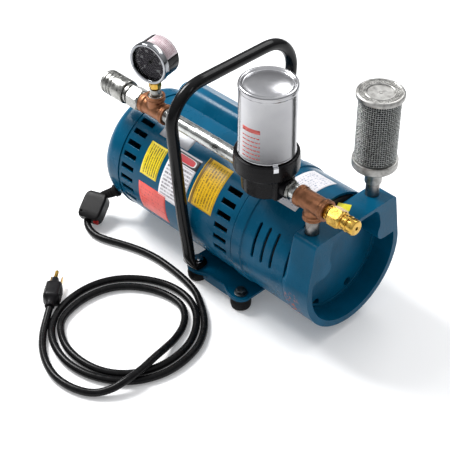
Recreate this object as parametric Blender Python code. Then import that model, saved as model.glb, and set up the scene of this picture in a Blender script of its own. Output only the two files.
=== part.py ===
"""Portable oil-less rotary vane air pump, built as an assembly.

A fan-cooled motor and a vane pump share one shaft. Air goes in through the mesh filter on the front
cowl, through the vanes, and out through a tee with a relief valve, a filter jar, a pipe, and a second
tee with a gauge and a quick coupler. A bent tube handle and four rubber feet carry it.

Blender 4.5. Lengths below are millimetres; every mesh is written in metres. +X runs along the shaft
towards the pump's open front, +Z is up, and the origin is on the floor under the middle of the box.
"""

import math

import bmesh
import bpy
from mathutils import Matrix, Vector

MM = 0.001
GAP = 0.3                       # between pieces that touch
ROUND = 32                      # sides of the large turned pieces
FINE = 16                       # sides of pipes and fittings

# Driving dimensions
AXIS_Z = 88.0                   # shaft height over the floor
SHELL_R = 75.0                  # motor and pump shells
SHELL_WALL = 3.0
MOTOR_REAR, MOTOR_FRONT = -150.0, 44.0
BELL_REAR = -184.0
BELL_FLAT_R = 57.0              # flat middle of the rear bell
HOUSING_FRONT = 125.7
COWL_REAR, COWL_FLOOR, COWL_FRONT = 126.0, 138.0, 164.0
COWL_R = 76.0
COWL_TOP = 66.0                 # flat top over the shaft
COWL_SHOULDER = 66.5            # half width at the flat top
COWL_WALL = 8.0
PORT_X, PORT_Y = 142.5, 49.0    # both port towers
PIPE_Z = AXIS_Z + 105.0         # outlet pipework
PIPE_R, PIPE_BORE = 8.4, 6.2
NIPPLE_R = 7.8
SOCKET_R = PIPE_R + GAP
JAR_X = 73.0
JAR_R, JAR_TOP = 32.0, 314.0
JAR_LIP = 227.2                 # top of the base's lip round the can
REAR_TEE_X = -106.0
TEE_HALF = 21.5                 # half length of a tee's run
FOOT_X, FOOT_Y = (-20.9, 52.5), 65.5
FOOT_R, FOOT_HEIGHT = 12.5, 15.7
PLATE = (16.0, 19.0)            # base plate, bottom and top
HANDLE_R = 7.1
SHAFT_R = 8.0
ROTOR_R, BORE_R, ECCENTRICITY = 31.2, 36.0, 4.0
GAUGE_R, GAUGE_Z, GAUGE_YAW = 25.2, 259.6, math.radians(11.8)
POINTER_REST = math.radians(36.5)   # clockwise from the top of the dial
FILTER_R, FILTER_TOP = 23.3, 289.5
VENT_STEP = math.radians(11.7)
CORD_R = 4.4
FLOOR_Z = CORD_R + 0.2          # centre of a cord that lies on the floor

# The cord's route from the switch to the plug, as it lies on the floor in loose loops
CORD_ROUTE = [
    (-189.2, -98.8, 10.8), (-182.0, -104.2, 7.2), (-171.5, -107.2, 5.0), (-158.5, -107.2, FLOOR_Z),
    (-146.0, -103.8, FLOOR_Z), (-128.0, -96.5, FLOOR_Z), (-110.0, -90.0, FLOOR_Z),
    (-93.0, -85.6, FLOOR_Z), (-75.0, -83.2, FLOOR_Z), (-56.0, -83.0, FLOOR_Z),
    (-38.0, -84.0, FLOOR_Z), (-18.0, -86.5, FLOOR_Z),
    (2.0, -91.5, FLOOR_Z), (21.0, -101.0, FLOOR_Z), (41.0, -114.0, FLOOR_Z),
    (58.5, -131.0, FLOOR_Z), (71.5, -153.0, FLOOR_Z), (77.5, -178.0, FLOOR_Z),
    (77.5, -203.0, FLOOR_Z), (71.0, -225.0, FLOOR_Z), (59.0, -244.0, FLOOR_Z),
    (40.0, -260.0, FLOOR_Z), (16.0, -271.0, FLOOR_Z), (-11.0, -274.5, FLOOR_Z),
    (-39.0, -269.0, FLOOR_Z), (-63.0, -256.0, FLOOR_Z), (-81.0, -235.0, FLOOR_Z),
    (-90.5, -210.0, FLOOR_Z), (-93.0, -182.0, FLOOR_Z), (-87.0, -156.0, FLOOR_Z),
    (-73.0, -134.0, FLOOR_Z), (-51.0, -116.0, FLOOR_Z), (-25.0, -105.5, FLOOR_Z),
    (2.0, -105.0, FLOOR_Z), (26.0, -114.0, FLOOR_Z), (46.0, -131.5, FLOOR_Z),
    (60.0, -154.0, FLOOR_Z), (66.0, -178.0, FLOOR_Z), (65.0, -204.0, FLOOR_Z),
    (57.0, -226.0, FLOOR_Z), (43.0, -244.0, FLOOR_Z), (23.0, -256.5, FLOOR_Z),
    (-2.0, -262.0, FLOOR_Z), (-29.0, -260.0, FLOOR_Z), (-52.0, -250.5, FLOOR_Z),
    (-69.0, -236.0, FLOOR_Z), (-77.5, -215.0, FLOOR_Z), (-80.0, -190.0, FLOOR_Z),
    (-75.0, -164.0, FLOOR_Z), (-61.5, -143.0, FLOOR_Z), (-39.5, -127.0, FLOOR_Z),
    (-16.0, -119.0, FLOOR_Z), (6.0, -119.0, FLOOR_Z), (23.0, -128.0, FLOOR_Z),
    (36.0, -143.0, FLOOR_Z), (45.0, -163.0, 5.6), (52.0, -184.0, 9.8), (58.0, -206.0, 14.0),
    (62.0, -228.0, 14.4), (62.5, -249.0, 13.6), (57.5, -268.5, 8.8), (45.0, -284.5, 5.2),
    (24.0, -295.0, FLOOR_Z), (-1.0, -298.0, FLOOR_Z), (-25.0, -292.5, FLOOR_Z),
    (-47.5, -281.0, FLOOR_Z), (-66.5, -265.5, 5.2), (-80.5, -249.5, 7.4), (-90.6, -236.9, 10.0),
]
CORD_STEP = 22.0                # between the points of a cord's mesh
LEAD_ROUTE = [(-181.9, -63.3, 36.9), (-186.4, -66.0, 34.0), (-191.4, -68.8, 30.8), (-196.4, -72.4, 27.2)]
RELIEF_FROM, RELIEF_TO = (-175.7, -57.7, 42.0), (-180.9, -62.5, 37.6)
SWITCH_CENTRE, SWITCH_AXIS = (-191.0, -85.2, 19.6), (0.36, -0.81, -0.46)
SWITCH_SIZE = (30.0, 37.0, 21.0)    # width, length along the cord, thickness
PLUG_FROM, PLUG_AXIS, PLUG_Z = (-91.0, -236.5), (-0.66, 0.751), 11.8


def clear_scene():
    for item in list(bpy.data.objects):
        bpy.data.objects.remove(item, do_unlink=True)


def material(name, colour, roughness, metallic=0.0):
    found = bpy.data.materials.get(name)
    if found:
        return found
    made = bpy.data.materials.new(name)
    made.use_nodes = True
    shader = made.node_tree.nodes["Principled BSDF"]
    shader.inputs["Base Color"].default_value = (*colour, 1.0)
    shader.inputs["Roughness"].default_value = roughness
    shader.inputs["Metallic"].default_value = metallic
    made.diffuse_color = (*colour, 1.0)
    return made


PAINT = ("blue enamel", (0.0, 0.105, 0.205), 0.35)
BLACK = ("black enamel", (0.02, 0.02, 0.022), 0.4)
PLASTIC = ("black plastic", (0.03, 0.03, 0.032), 0.5)
RUBBER = ("rubber", (0.03, 0.03, 0.03), 0.8)
STEEL = ("zinc steel", (0.55, 0.55, 0.53), 0.35, 1.0)
BRONZE = ("bronze", (0.42, 0.22, 0.12), 0.4, 1.0)
BRASS = ("brass", (0.72, 0.5, 0.16), 0.25, 1.0)
ALUMINIUM = ("polished aluminium", (0.75, 0.75, 0.75), 0.12, 1.0)
CHROME = ("chrome", (0.8, 0.8, 0.8), 0.08, 1.0)
IRON = ("cast iron", (0.2, 0.2, 0.2), 0.6, 1.0)
COPPER = ("enamelled copper", (0.5, 0.16, 0.06), 0.4, 1.0)
CARBON = ("carbon", (0.04, 0.04, 0.045), 0.6)
FELT = ("felt", (0.75, 0.74, 0.68), 0.9)
GLASS = ("lens", (0.8, 0.85, 0.85), 0.05)
DIAL = ("dial", (0.12, 0.12, 0.13), 0.5)
RED = ("red plastic", (0.6, 0.03, 0.02), 0.4)


# Mesh building -----------------------------------------------------------------------------------

def face_outwards(bm):
    bmesh.ops.recalc_face_normals(bm, faces=bm.faces)
    if bm.calc_volume(signed=True) < 0.0:
        bmesh.ops.reverse_faces(bm, faces=bm.faces)


def finish(name, bm, finish_of, origin=(0.0, 0.0, 0.0)):
    """Turn a bmesh in millimetres into an object in metres, with its own origin."""
    face_outwards(bm)
    shift = Vector(origin)
    for vert in bm.verts:
        vert.co = (vert.co - shift) * MM
    mesh = bpy.data.meshes.new(name)
    bm.to_mesh(mesh)
    bm.free()
    mesh.shade_smooth()
    mesh.set_sharp_from_angle(angle=math.radians(35.0))
    made = bpy.data.objects.new(name, mesh)
    made.location = shift * MM
    mesh.materials.append(material(*finish_of))
    bpy.context.scene.collection.objects.link(made)
    return made


def frame_of(axis):
    """Rotation that takes +X to the given axis."""
    return Vector((1.0, 0.0, 0.0)).rotation_difference(Vector(axis).normalized()).to_matrix().to_4x4()


def turned(outline, axis=(1, 0, 0), at=(0.0, 0.0, 0.0), sides=FINE, closed=True):
    """Spin an outline of (distance along the axis, radius) points about the axis."""
    bm = bmesh.new()
    verts = [bm.verts.new((along, 0.0, radius)) for along, radius in outline]
    pairs = list(zip(verts, verts[1:]))
    if closed:
        pairs.append((verts[-1], verts[0]))
    edges = [bm.edges.new(pair) for pair in pairs]
    bmesh.ops.spin(bm, geom=verts + edges, cent=(0, 0, 0), axis=(1, 0, 0), angle=2 * math.pi, steps=sides)
    bmesh.ops.remove_doubles(bm, verts=bm.verts, dist=1e-4)
    bm.transform(Matrix.Translation(at) @ frame_of(axis))
    return bm


def rod(start, end, radius, axis=(1, 0, 0), at=(0.0, 0.0, 0.0), sides=FINE):
    return turned([(start, 0.0), (start, radius), (end, radius), (end, 0.0)], axis, at, sides, closed=False)


def tube(start, end, inner, outer, axis=(1, 0, 0), at=(0.0, 0.0, 0.0), sides=FINE):
    return turned([(start, inner), (start, outer), (end, outer), (end, inner)], axis, at, sides)


def prism(outline, depth, matrix):
    """Extrude a closed outline of (u, v) points along +w, and place it with a matrix."""
    bm = bmesh.new()
    face = bm.faces.new([bm.verts.new((u, v, 0.0)) for u, v in outline])
    grown = bmesh.ops.extrude_face_region(bm, geom=[face])
    bmesh.ops.translate(bm, verts=[g for g in grown["geom"] if isinstance(g, bmesh.types.BMVert)],
                        vec=(0.0, 0.0, depth))
    bm.transform(matrix)
    return bm


# u to +Y, v to +Z, w to +X
ALONG_X = Matrix(((0, 0, 1, 0), (1, 0, 0, 0), (0, 1, 0, 0), (0, 0, 0, 1)))


def along_x(outline, start, end, at=(0.0, 0.0)):
    return prism(outline, end - start, Matrix.Translation((start, at[0], at[1])) @ ALONG_X)


def along_z(outline, start, end, at=(0.0, 0.0)):
    return prism(outline, end - start, Matrix.Translation((at[0], at[1], start)))


def box(low, high):
    corners = [(low[0], low[1]), (high[0], low[1]), (high[0], high[1]), (low[0], high[1])]
    return along_z(corners, low[2], high[2])


def arc(centre, radius, start, end, steps):
    """Points of an arc in degrees, ends included."""
    turns = [math.radians(start + (end - start) * i / steps) for i in range(steps + 1)]
    return [(centre[0] + radius * math.cos(t), centre[1] + radius * math.sin(t)) for t in turns]


def hexagon(across_flats, turn=0.0):
    return arc((0.0, 0.0), across_flats / math.sqrt(3.0), turn, turn + 300.0, 5)


def merged(*parts):
    """One bmesh that holds several separate bodies, used as a Boolean operand."""
    whole = bmesh.new()
    for part in parts:
        face_outwards(part)
        scratch = bpy.data.meshes.new("operand")
        part.to_mesh(scratch)
        part.free()
        whole.from_mesh(scratch)
        bpy.data.meshes.remove(scratch)
    return whole


def carve(target, operation, *parts):
    """Boolean one or more bodies into an object, one step for each."""
    for part in parts:
        step_name = f"{operation.lower()}_{len(target.modifiers)}"
        tool = finish(f"{target.name}_{step_name}", part, STEEL)
        tool.hide_render = True
        tool.display_type = "WIRE"
        tool.hide_set(True)
        step = target.modifiers.new(step_name, "BOOLEAN")
        step.operation = operation
        step.solver = "EXACT"
        step.object = tool
    return target


# Motor -------------------------------------------------------------------------------------------

def slots(first, last, angles, reach=(SHELL_R - 6.0, SHELL_R + 6.0), half_height=3.3):
    """Vent cutters through the shell, along X, at angles from the top on both sides."""
    blocks = []
    for angle in angles:
        for side in (-1.0, 1.0):
            block = box((first, -half_height, reach[0]), (last, half_height, reach[1]))
            block.transform(Matrix.Translation((0, 0, AXIS_Z)) @ Matrix.Rotation(-side * angle, 4, "X"))
            blocks.append(block)
    return merged(*blocks)


def build_motor():
    centre = (0.0, 0.0, AXIS_Z)
    shell = finish("motor_shell", tube(MOTOR_REAR, MOTOR_FRONT, SHELL_R - SHELL_WALL, SHELL_R,
                                       at=centre, sides=ROUND), PAINT)
    carve(shell, "DIFFERENCE",
          slots(-146.0, -125.0, [math.radians(29.5) + VENT_STEP * i for i in range(8)]),
          slots(15.2, 36.2, [math.radians(41.0) + VENT_STEP * i for i in range(6)]))

    corner = SHELL_R - BELL_FLAT_R
    outer = arc((BELL_REAR + corner, BELL_FLAT_R), corner, 180.0, 90.0, 5)
    inner = arc((BELL_REAR + corner, BELL_FLAT_R), corner - SHELL_WALL, 90.0, 180.0, 3)
    back = BELL_REAR + SHELL_WALL
    joint = MOTOR_REAR - GAP
    bell = [(BELL_REAR, 0.0)] + outer + [(joint, SHELL_R), (joint, SHELL_R - SHELL_WALL)]
    bell += inner + [(back, 22.0), (-167.0, 22.0), (-167.0, 17.3), (back, 17.3), (back, 0.0)]
    finish("rear_end_bell", turned(bell, at=centre, sides=ROUND, closed=False), PAINT)

    finish("stator_core", tube(-85.0, -25.0, 46.0, 71.6, at=centre, sides=24), IRON)
    # The conductors in the core's slots are drawn as one thin sleeve between the two end windings.
    winding = [(-106.0, 43.6), (-106.0, 64.0), (-85.3, 64.0), (-85.3, 45.6), (-24.7, 45.6), (-24.7, 64.0),
               (-4.0, 64.0), (-4.0, 43.6)]
    finish("field_winding", turned(winding, at=centre, sides=24), COPPER)
    finish("rear_bearing", tube(-180.6, -168.0, SHAFT_R + GAP, 17.0, at=centre), STEEL)
    finish("front_bearing", tube(45.4, 57.4, SHAFT_R + GAP, 17.0, at=centre), STEEL)


def build_shaft_group():
    """Everything that turns with the shaft; each origin is on the shaft's axis."""
    centre = (0.0, 0.0, AXIS_Z)
    finish("motor_shaft", rod(-180.4, 121.0, SHAFT_R, at=centre), STEEL, centre)
    finish("rotor_core", tube(-84.0, -26.0, SHAFT_R + GAP, 42.6, at=centre, sides=24), IRON, centre)

    blade_count, blade_tip, hub = 9, 62.0, 17.0
    star = []
    for index in range(blade_count):
        middle = 2 * math.pi * index / blade_count
        for radius, half in ((hub, 1.4), (blade_tip, 1.4), (blade_tip, -1.4), (hub, -1.4)):
            turn = middle - half / radius
            star.append((radius * math.cos(turn), radius * math.sin(turn)))
    fan = finish("cooling_fan", along_x(star, 62.0, 75.0, at=(0.0, AXIS_Z)), BLACK, centre)
    carve(fan, "DIFFERENCE", rod(60.0, 77.0, SHAFT_R + GAP, at=centre))

    rotor = finish("pump_rotor", rod(86.4, 117.6, ROTOR_R, at=centre, sides=28), IRON, centre)
    cutters = [rod(80.0, 124.0, SHAFT_R + GAP, at=centre)]
    for index in range(4):
        turn = Matrix.Rotation(math.radians(45.0 + 90.0 * index), 4, "X")
        slot = box((80.0, -2.3, 15.0), (124.0, 2.3, 40.0))
        slot.transform(Matrix.Translation(centre) @ turn)
        cutters.append(slot)
        vane = box((86.7, -2.0, 15.6), (117.3, 2.0, 31.0))
        vane.transform(Matrix.Translation(centre) @ turn)
        finish(f"vane_{index + 1}", vane, CARBON, centre)
    carve(rotor, "DIFFERENCE", merged(*cutters))


# Pump --------------------------------------------------------------------------------------------

def cowl_outline():
    """Round below, nearly straight above, with a flat top and small shoulder radii."""
    top_corner = 6.0
    lean = math.degrees(math.atan2(COWL_R - COWL_SHOULDER, COWL_TOP))
    right = arc((COWL_SHOULDER - top_corner, COWL_TOP - top_corner), top_corner, lean, 90.0, 3)
    left = [(-y, z) for y, z in reversed(right)]
    return left + arc((0.0, 0.0), COWL_R, 176.0, 364.0, 30) + right


def pocket_outline():
    """The open recess: round below, and above it runs between the two port bosses."""
    inner = COWL_R - COWL_WALL
    boss = [(inner, 14.0), (52.0, 13.8), (43.5, 17.0), (38.6, 25.5), (41.0, 38.0), (38.6, 53.0), (34.0, 61.0)]
    left = [(-y, z) for y, z in reversed(boss)]
    start = math.degrees(math.atan2(14.0, -math.sqrt(inner ** 2 - 14.0 ** 2)))
    low = arc((0.0, 0.0), inner, start, 540.0 - start, 30)
    return low + boss[1:] + left[:-1]


def build_pump():
    centre = (0.0, 0.0, AXIS_Z)
    inside = SHELL_R - 3.5
    wall = [(MOTOR_FRONT + GAP, 17.3), (MOTOR_FRONT + GAP, SHELL_R), (46.0, SHELL_R), (46.0, 76.5),
            (60.0, 76.5), (60.0, SHELL_R), (HOUSING_FRONT, SHELL_R), (HOUSING_FRONT, inside),
            (50.0, inside), (50.0, 24.0), (58.0, 24.0), (58.0, 17.3)]
    housing = finish("pump_housing", turned(wall, at=centre, sides=ROUND), PAINT)
    slits = []
    for x in (77.6, 91.4, 105.2):
        for side in (-1.0, 1.0):
            ring = arc((0, 0), SHELL_R + 5.0, 0.0, 34.0, 5) + arc((0, 0), SHELL_R - 8.0, 34.0, 0.0, 5)
            slit = along_x([(side * y, z) for y, z in ring], x - 1.9, x + 1.9)
            slit.transform(Matrix.Translation(centre) @ Matrix.Rotation(side * math.radians(5.0), 4, "X"))
            slits.append(slit)
    carve(housing, "DIFFERENCE", merged(*slits))

    cylinder = finish("pump_cylinder", rod(80.0, 118.0, 64.0, at=centre, sides=28), IRON)
    carve(cylinder, "DIFFERENCE",
          rod(86.0, 120.0, BORE_R, at=(0.0, 0.0, AXIS_Z + ECCENTRICITY), sides=28),
          rod(78.0, 90.0, SHAFT_R + GAP, at=centre))

    cowl = finish("front_cowl", along_x(cowl_outline(), COWL_REAR, COWL_FRONT, at=(0.0, AXIS_Z)), PAINT)
    ports = [rod(130.0, 160.0, NIPPLE_R + GAP, axis=(0, 0, 1), at=(PORT_X, side * PORT_Y, 0.0))
             for side in (-1.0, 1.0)]
    bolt_holes = [rod(130.0, 140.0, 5.0, at=(0.0, y, AXIS_Z - 51.0), sides=16) for y in (-31.0, 23.0)]
    shaft_end = rod(118.0, 123.0, SHAFT_R + 1.0, at=centre)
    carve(cowl, "UNION", rod(118.4, 127.0, 70.0, at=centre, sides=28))
    carve(cowl, "DIFFERENCE",
          along_x(pocket_outline(), COWL_FLOOR, COWL_FRONT + 2.0, at=(0.0, AXIS_Z)),
          merged(*ports), merged(*bolt_holes), shaft_end)


# Capacitor ---------------------------------------------------------------------------------------

def build_capacitor():
    """A drawn box on the rear upper side of the motor shell, over the start capacitor."""
    start, end, half, top = -150.0, -26.0, 27.0, 95.0
    lean = Matrix.Translation((0, 0, AXIS_Z)) @ Matrix.Rotation(math.radians(-33.0), 4, "X")

    def section(x, inset):
        """The drawn box's outline at x, shrunk by inset towards its rounded ends."""
        corner = 14.0 - 0.6 * inset
        side, crown = half - inset, top - inset
        rim = [(side, 66.0)] + arc((side - corner, crown - corner), corner, 0.0, 90.0, 4)
        return [Vector((x, y, z)) for y, z in rim] + [Vector((x, -y, z)) for y, z in reversed(rim)]

    rounding, steps = 11.0, 3
    ends = [(rounding * (1.0 - math.cos(t)), rounding * (1.0 - math.sin(t)))
            for t in [math.radians(90.0 * i / steps) for i in range(steps + 1)]]
    rings = [section(start + along, inset) for along, inset in ends]
    rings += [section(end - along, inset) for along, inset in reversed(ends)]
    cover_outer = lofted(rings)
    cover_outer.transform(lean)
    cover = finish("capacitor_cover", cover_outer, PAINT)
    hollow = box((start + 12.0, -half + 13.0, 60.0), (end - 12.0, half - 13.0, top - 3.0))
    hollow.transform(lean)
    saddle = rod(start - 5.0, end + 5.0, SHELL_R + GAP, at=(0, 0, AXIS_Z), sides=ROUND)
    carve(cover, "DIFFERENCE", saddle, hollow)
    can = rod(-128.0, -50.0, 7.0, at=(0.0, 0.0, 83.6), sides=16)
    can.transform(lean)
    finish("capacitor", can, ALUMINIUM)


# Base and handle ---------------------------------------------------------------------------------

def build_base():
    lobe, reach = 13.0, 24.5
    inside, outside = SHELL_R + GAP, SHELL_R + GAP + 3.0
    cradle = arc((0.0, 0.0), inside, 270.0 - reach, 270.0 + reach, 12)
    cradle += arc((0.0, 0.0), outside, 270.0 + reach, 270.0 - reach, 12)
    base = finish("base_plate", along_x(cradle, FOOT_X[0] - lobe, MOTOR_FRONT, at=(0.0, AXIS_Z)), PAINT)
    edge, root, clear_of_band = 71.0, 30.5, 37.0
    for side in (-1.0, 1.0):
        ear = [(FOOT_X[0] - lobe, root)]
        ear += arc((FOOT_X[0], FOOT_Y), lobe, 180.0, 25.0, 8)
        ear += arc((FOOT_X[1], FOOT_Y), lobe, 155.0, 0.0, 8)
        ear += [(FOOT_X[1] + lobe, clear_of_band), (MOTOR_FRONT + 1.0, clear_of_band), (MOTOR_FRONT, root)]
        carve(base, "UNION", along_z([(x, side * y) for x, y in ear], *PLATE))
        low, high = sorted((side * (edge - 3.0), side * edge))
        carve(base, "UNION", box((-6.0, low, 6.5), (38.0, high, PLATE[1] - 0.5)))
    holes = [rod(10.0, 25.0, 3.5, axis=(0, 0, 1), at=(x, side * FOOT_Y, 0.0), sides=12)
             for x in FOOT_X for side in (-1.0, 1.0)]
    carve(base, "DIFFERENCE", merged(*holes))

    places = {"rear_near": (FOOT_X[0], -FOOT_Y), "rear_far": (FOOT_X[0], FOOT_Y),
              "front_near": (FOOT_X[1], -FOOT_Y), "front_far": (FOOT_X[1], FOOT_Y)}
    for name, (x, y) in places.items():
        pad = [(0.0, 0.0), (0.0, 10.6), (4.0, FOOT_R), (FOOT_HEIGHT, FOOT_R), (FOOT_HEIGHT, 3.5),
               (5.0, 3.5), (5.0, 0.0)]
        finish(f"foot_{name}", turned(pad, (0, 0, 1), (x, y, 0.0), 20, closed=False), RUBBER)
        seat = PLATE[1] + GAP + (4.0 + GAP if name.startswith("rear") else 0.0)
        washer = 5.9 if name.startswith("rear") else 8.0
        shank = [(6.0, 0.0), (6.0, 3.0), (seat, 3.0), (seat, washer), (seat + 1.4, washer), (seat + 1.4, 0.0)]
        bolt = finish(f"bolt_{name}", turned(shank, (0, 0, 1), (x, y, 0.0), 16, closed=False), CHROME)
        carve(bolt, "UNION", along_z(hexagon(11.0), seat + 1.0, seat + 6.4, at=(x, y)))


def handle_route():
    """One side's leg bows out round the motor; the top bar is straight, with a large bend."""
    leg = [(-20.9, 78.9, 22.0), (-21.2, 79.1, 36.0), (-22.0, 81.2, 62.0), (-23.0, 84.4, 88.0),
           (-24.2, 86.8, 116.0), (-25.8, 89.8, 160.0), (-27.2, 93.0, 205.0), (-27.6, 94.4, 224.0)]
    bend = [(-28.0, 51.0 + 44.0 * math.cos(t), 223.5 + 44.0 * math.sin(t))
            for t in [math.radians(12.0 + 78.0 * i / 4) for i in range(5)]]
    half = leg + bend
    return half + [(x, -y, z) for x, y, z in reversed(half)]


def build_handle():
    bar = finish("handle", round_bar(smooth(handle_route(), 17.0), HANDLE_R, 10), BLACK)
    for side in (-1.0, 1.0):
        tab = arc((FOOT_X[0], FOOT_Y), 11.0, 180.0, 360.0, 10)
        tab += arc((FOOT_X[0], 78.5), 11.0, 0.0, 180.0, 10)
        carve(bar, "UNION", along_z([(x, side * y) for x, y in tab], PLATE[1] + GAP, PLATE[1] + GAP + 4.0))
    holes = [rod(10.0, 24.5, 3.5, axis=(0, 0, 1), at=(FOOT_X[0], side * FOOT_Y, 0.0), sides=12)
             for side in (-1.0, 1.0)]
    carve(bar, "DIFFERENCE", merged(*holes))


# Curves ------------------------------------------------------------------------------------------

def smooth(route, step):
    """Even points along a Catmull-Rom curve through the route's own points."""
    points = [Vector(p) for p in route]
    ends = [2 * points[0] - points[1]] + points + [2 * points[-1] - points[-2]]
    dense = []
    for a, b, c, d in zip(ends, ends[1:], ends[2:], ends[3:]):
        for i in range(24):
            t = i / 24
            dense.append(0.5 * (2 * b + (c - a) * t + (2 * a - 5 * b + 4 * c - d) * t ** 2
                                + (3 * b - 3 * c + d - a) * t ** 3))
    dense.append(points[-1])
    lengths = [0.0]
    for p, q in zip(dense, dense[1:]):
        lengths.append(lengths[-1] + (q - p).length)
    count = max(2, round(lengths[-1] / step))
    even, place = [], 0
    for i in range(count + 1):
        wanted = lengths[-1] * i / count
        while place < len(lengths) - 2 and lengths[place + 1] < wanted:
            place += 1
        part = (wanted - lengths[place]) / (lengths[place + 1] - lengths[place])
        even.append(dense[place].lerp(dense[place + 1], part))
    return even


def lofted(rings):
    """A closed skin through rings of equally many points, capped at both ends."""
    bm = bmesh.new()
    loops = [[bm.verts.new(point) for point in ring] for ring in rings]
    for first, second in zip(loops, loops[1:]):
        for i in range(len(first)):
            j = (i + 1) % len(first)
            bm.faces.new((first[i], first[j], second[j], second[i]))
    bm.faces.new(loops[0])
    bm.faces.new(loops[-1])
    return bm


def round_bar(points, radius, sides):
    """A capped round bar along points, with rings square to the path and no twist."""
    rings, side = [], Vector((1.0, 0.0, 0.0))
    for index, point in enumerate(points):
        ahead, behind = points[min(index + 1, len(points) - 1)], points[max(index - 1, 0)]
        along = (ahead - behind).normalized()
        side = (side - along * side.dot(along)).normalized()
        other = along.cross(side)
        turns = [2 * math.pi * i / sides for i in range(sides)]
        rings.append([point + radius * (side * math.cos(t) + other * math.sin(t)) for t in turns])
    return lofted(rings)


def swept(name, points, radius, finish_of, resolution=2):
    curve = bpy.data.curves.new(name, "CURVE")
    curve.dimensions = "3D"
    curve.bevel_depth = radius * MM
    curve.bevel_resolution = resolution
    curve.resolution_u = 12
    curve.render_resolution_u = 0
    curve.use_fill_caps = True
    spline = curve.splines.new("POLY")
    spline.points.add(len(points) - 1)
    for target, point in zip(spline.points, points):
        target.co = (*(point * MM), 1.0)
    curve.materials.append(material(*finish_of))
    made = bpy.data.objects.new(name, curve)
    bpy.context.scene.collection.objects.link(made)
    return made


# Outlet pipework ---------------------------------------------------------------------------------

def build_tee(name, x, branch):
    """A tee with three banded sockets; branch is +1 for up and -1 for down."""
    at = (x, -PORT_Y, PIPE_Z)

    def banded(reach):
        band, bead, body = 7.0, 12.8, 11.0
        return [(reach[0], bead), (reach[0] + band, bead), (reach[0] + band + 1.5, body),
                (reach[1] - band - 1.5, body), (reach[1] - band, bead), (reach[1], bead)]

    run = [(-TEE_HALF, 0.0)] + banded((-TEE_HALF, TEE_HALF)) + [(TEE_HALF, 0.0)]
    tee = finish(name, turned(run, at=at, closed=False), BRONZE)
    stub = [(1.0, 0.0), (1.0, 10.7), (11.5, 10.7), (13.0, 12.8), (20.0, 12.8), (20.0, 0.0)]
    carve(tee, "UNION", turned(stub, (0, 0, branch), at, 20, closed=False))
    branch_bore = NIPPLE_R + GAP if branch < 0 else SOCKET_R - 0.05
    carve(tee, "DIFFERENCE", rod(2.0, 24.0, branch_bore, (0, 0, branch), at, 20),
          rod(-TEE_HALF - 2, TEE_HALF + 2, SOCKET_R, at=at))


def build_relief_valve():
    at = (0.0, -PORT_Y, PIPE_Z)
    hex_from, hex_to = 168.3, 184.6
    shell = [(152.0, 3.2), (152.0, 8.3), (hex_from, 8.3), (hex_from, 9.2), (hex_to, 9.2), (hex_to + 0.6, 7.9),
             (188.8, 7.9), (188.8, 6.1), (158.0, 6.1), (158.0, 3.2)]
    body = finish("relief_valve_body", turned(shell, at=at), BRASS)
    nut = along_x(hexagon(20.0, 30.0), hex_from, hex_to, at=(-PORT_Y, PIPE_Z))
    carve(body, "UNION", nut)
    carve(body, "DIFFERENCE", rod(158.0, 190.0, 6.1, at=at))
    knob = [(180.0, 2.0), (180.0, 5.7), (189.1, 5.7), (189.1, 8.4), (190.4, 9.0), (199.6, 9.0),
            (203.0, 7.6), (203.0, 2.0)]
    finish("relief_valve_knob", turned(knob, at=at), BRASS, at)
    poppet = [(154.6, 0.0), (154.6, 2.8), (158.3, 2.8), (158.3, 5.6), (164.0, 5.6), (164.0, 0.0)]
    finish("relief_valve_poppet", turned(poppet, at=at, closed=False), BRASS, at)
    turns, first, last, coil = 4, 167.4, 178.6, 4.0
    helix = [Vector((first + (last - first) * i / (turns * 12),
                     at[1] + coil * math.cos(2 * math.pi * i / 12),
                     at[2] + coil * math.sin(2 * math.pi * i / 12))) for i in range(turns * 12 + 1)]
    swept("relief_valve_spring", helix, 0.5, STEEL, 1)


def build_pipework():
    build_tee("outlet_tee", PORT_X, -1)
    build_tee("rear_tee", REAR_TEE_X, 1)
    for name, y, top in (("outlet_nipple", -PORT_Y, 184.0), ("inlet_nipple", PORT_Y, 186.0)):
        finish(name, tube(132.0, top, 5.6, NIPPLE_R, (0, 0, 1), (PORT_X, y, 0.0)), STEEL)
    at = (0.0, -PORT_Y, PIPE_Z)
    finish("jar_nipple", tube(99.0, 134.0, PIPE_BORE, PIPE_R, at=at), STEEL)
    finish("outlet_pipe", tube(-98.0, 47.0, PIPE_BORE, PIPE_R, at=at), STEEL)
    build_relief_valve()


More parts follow.
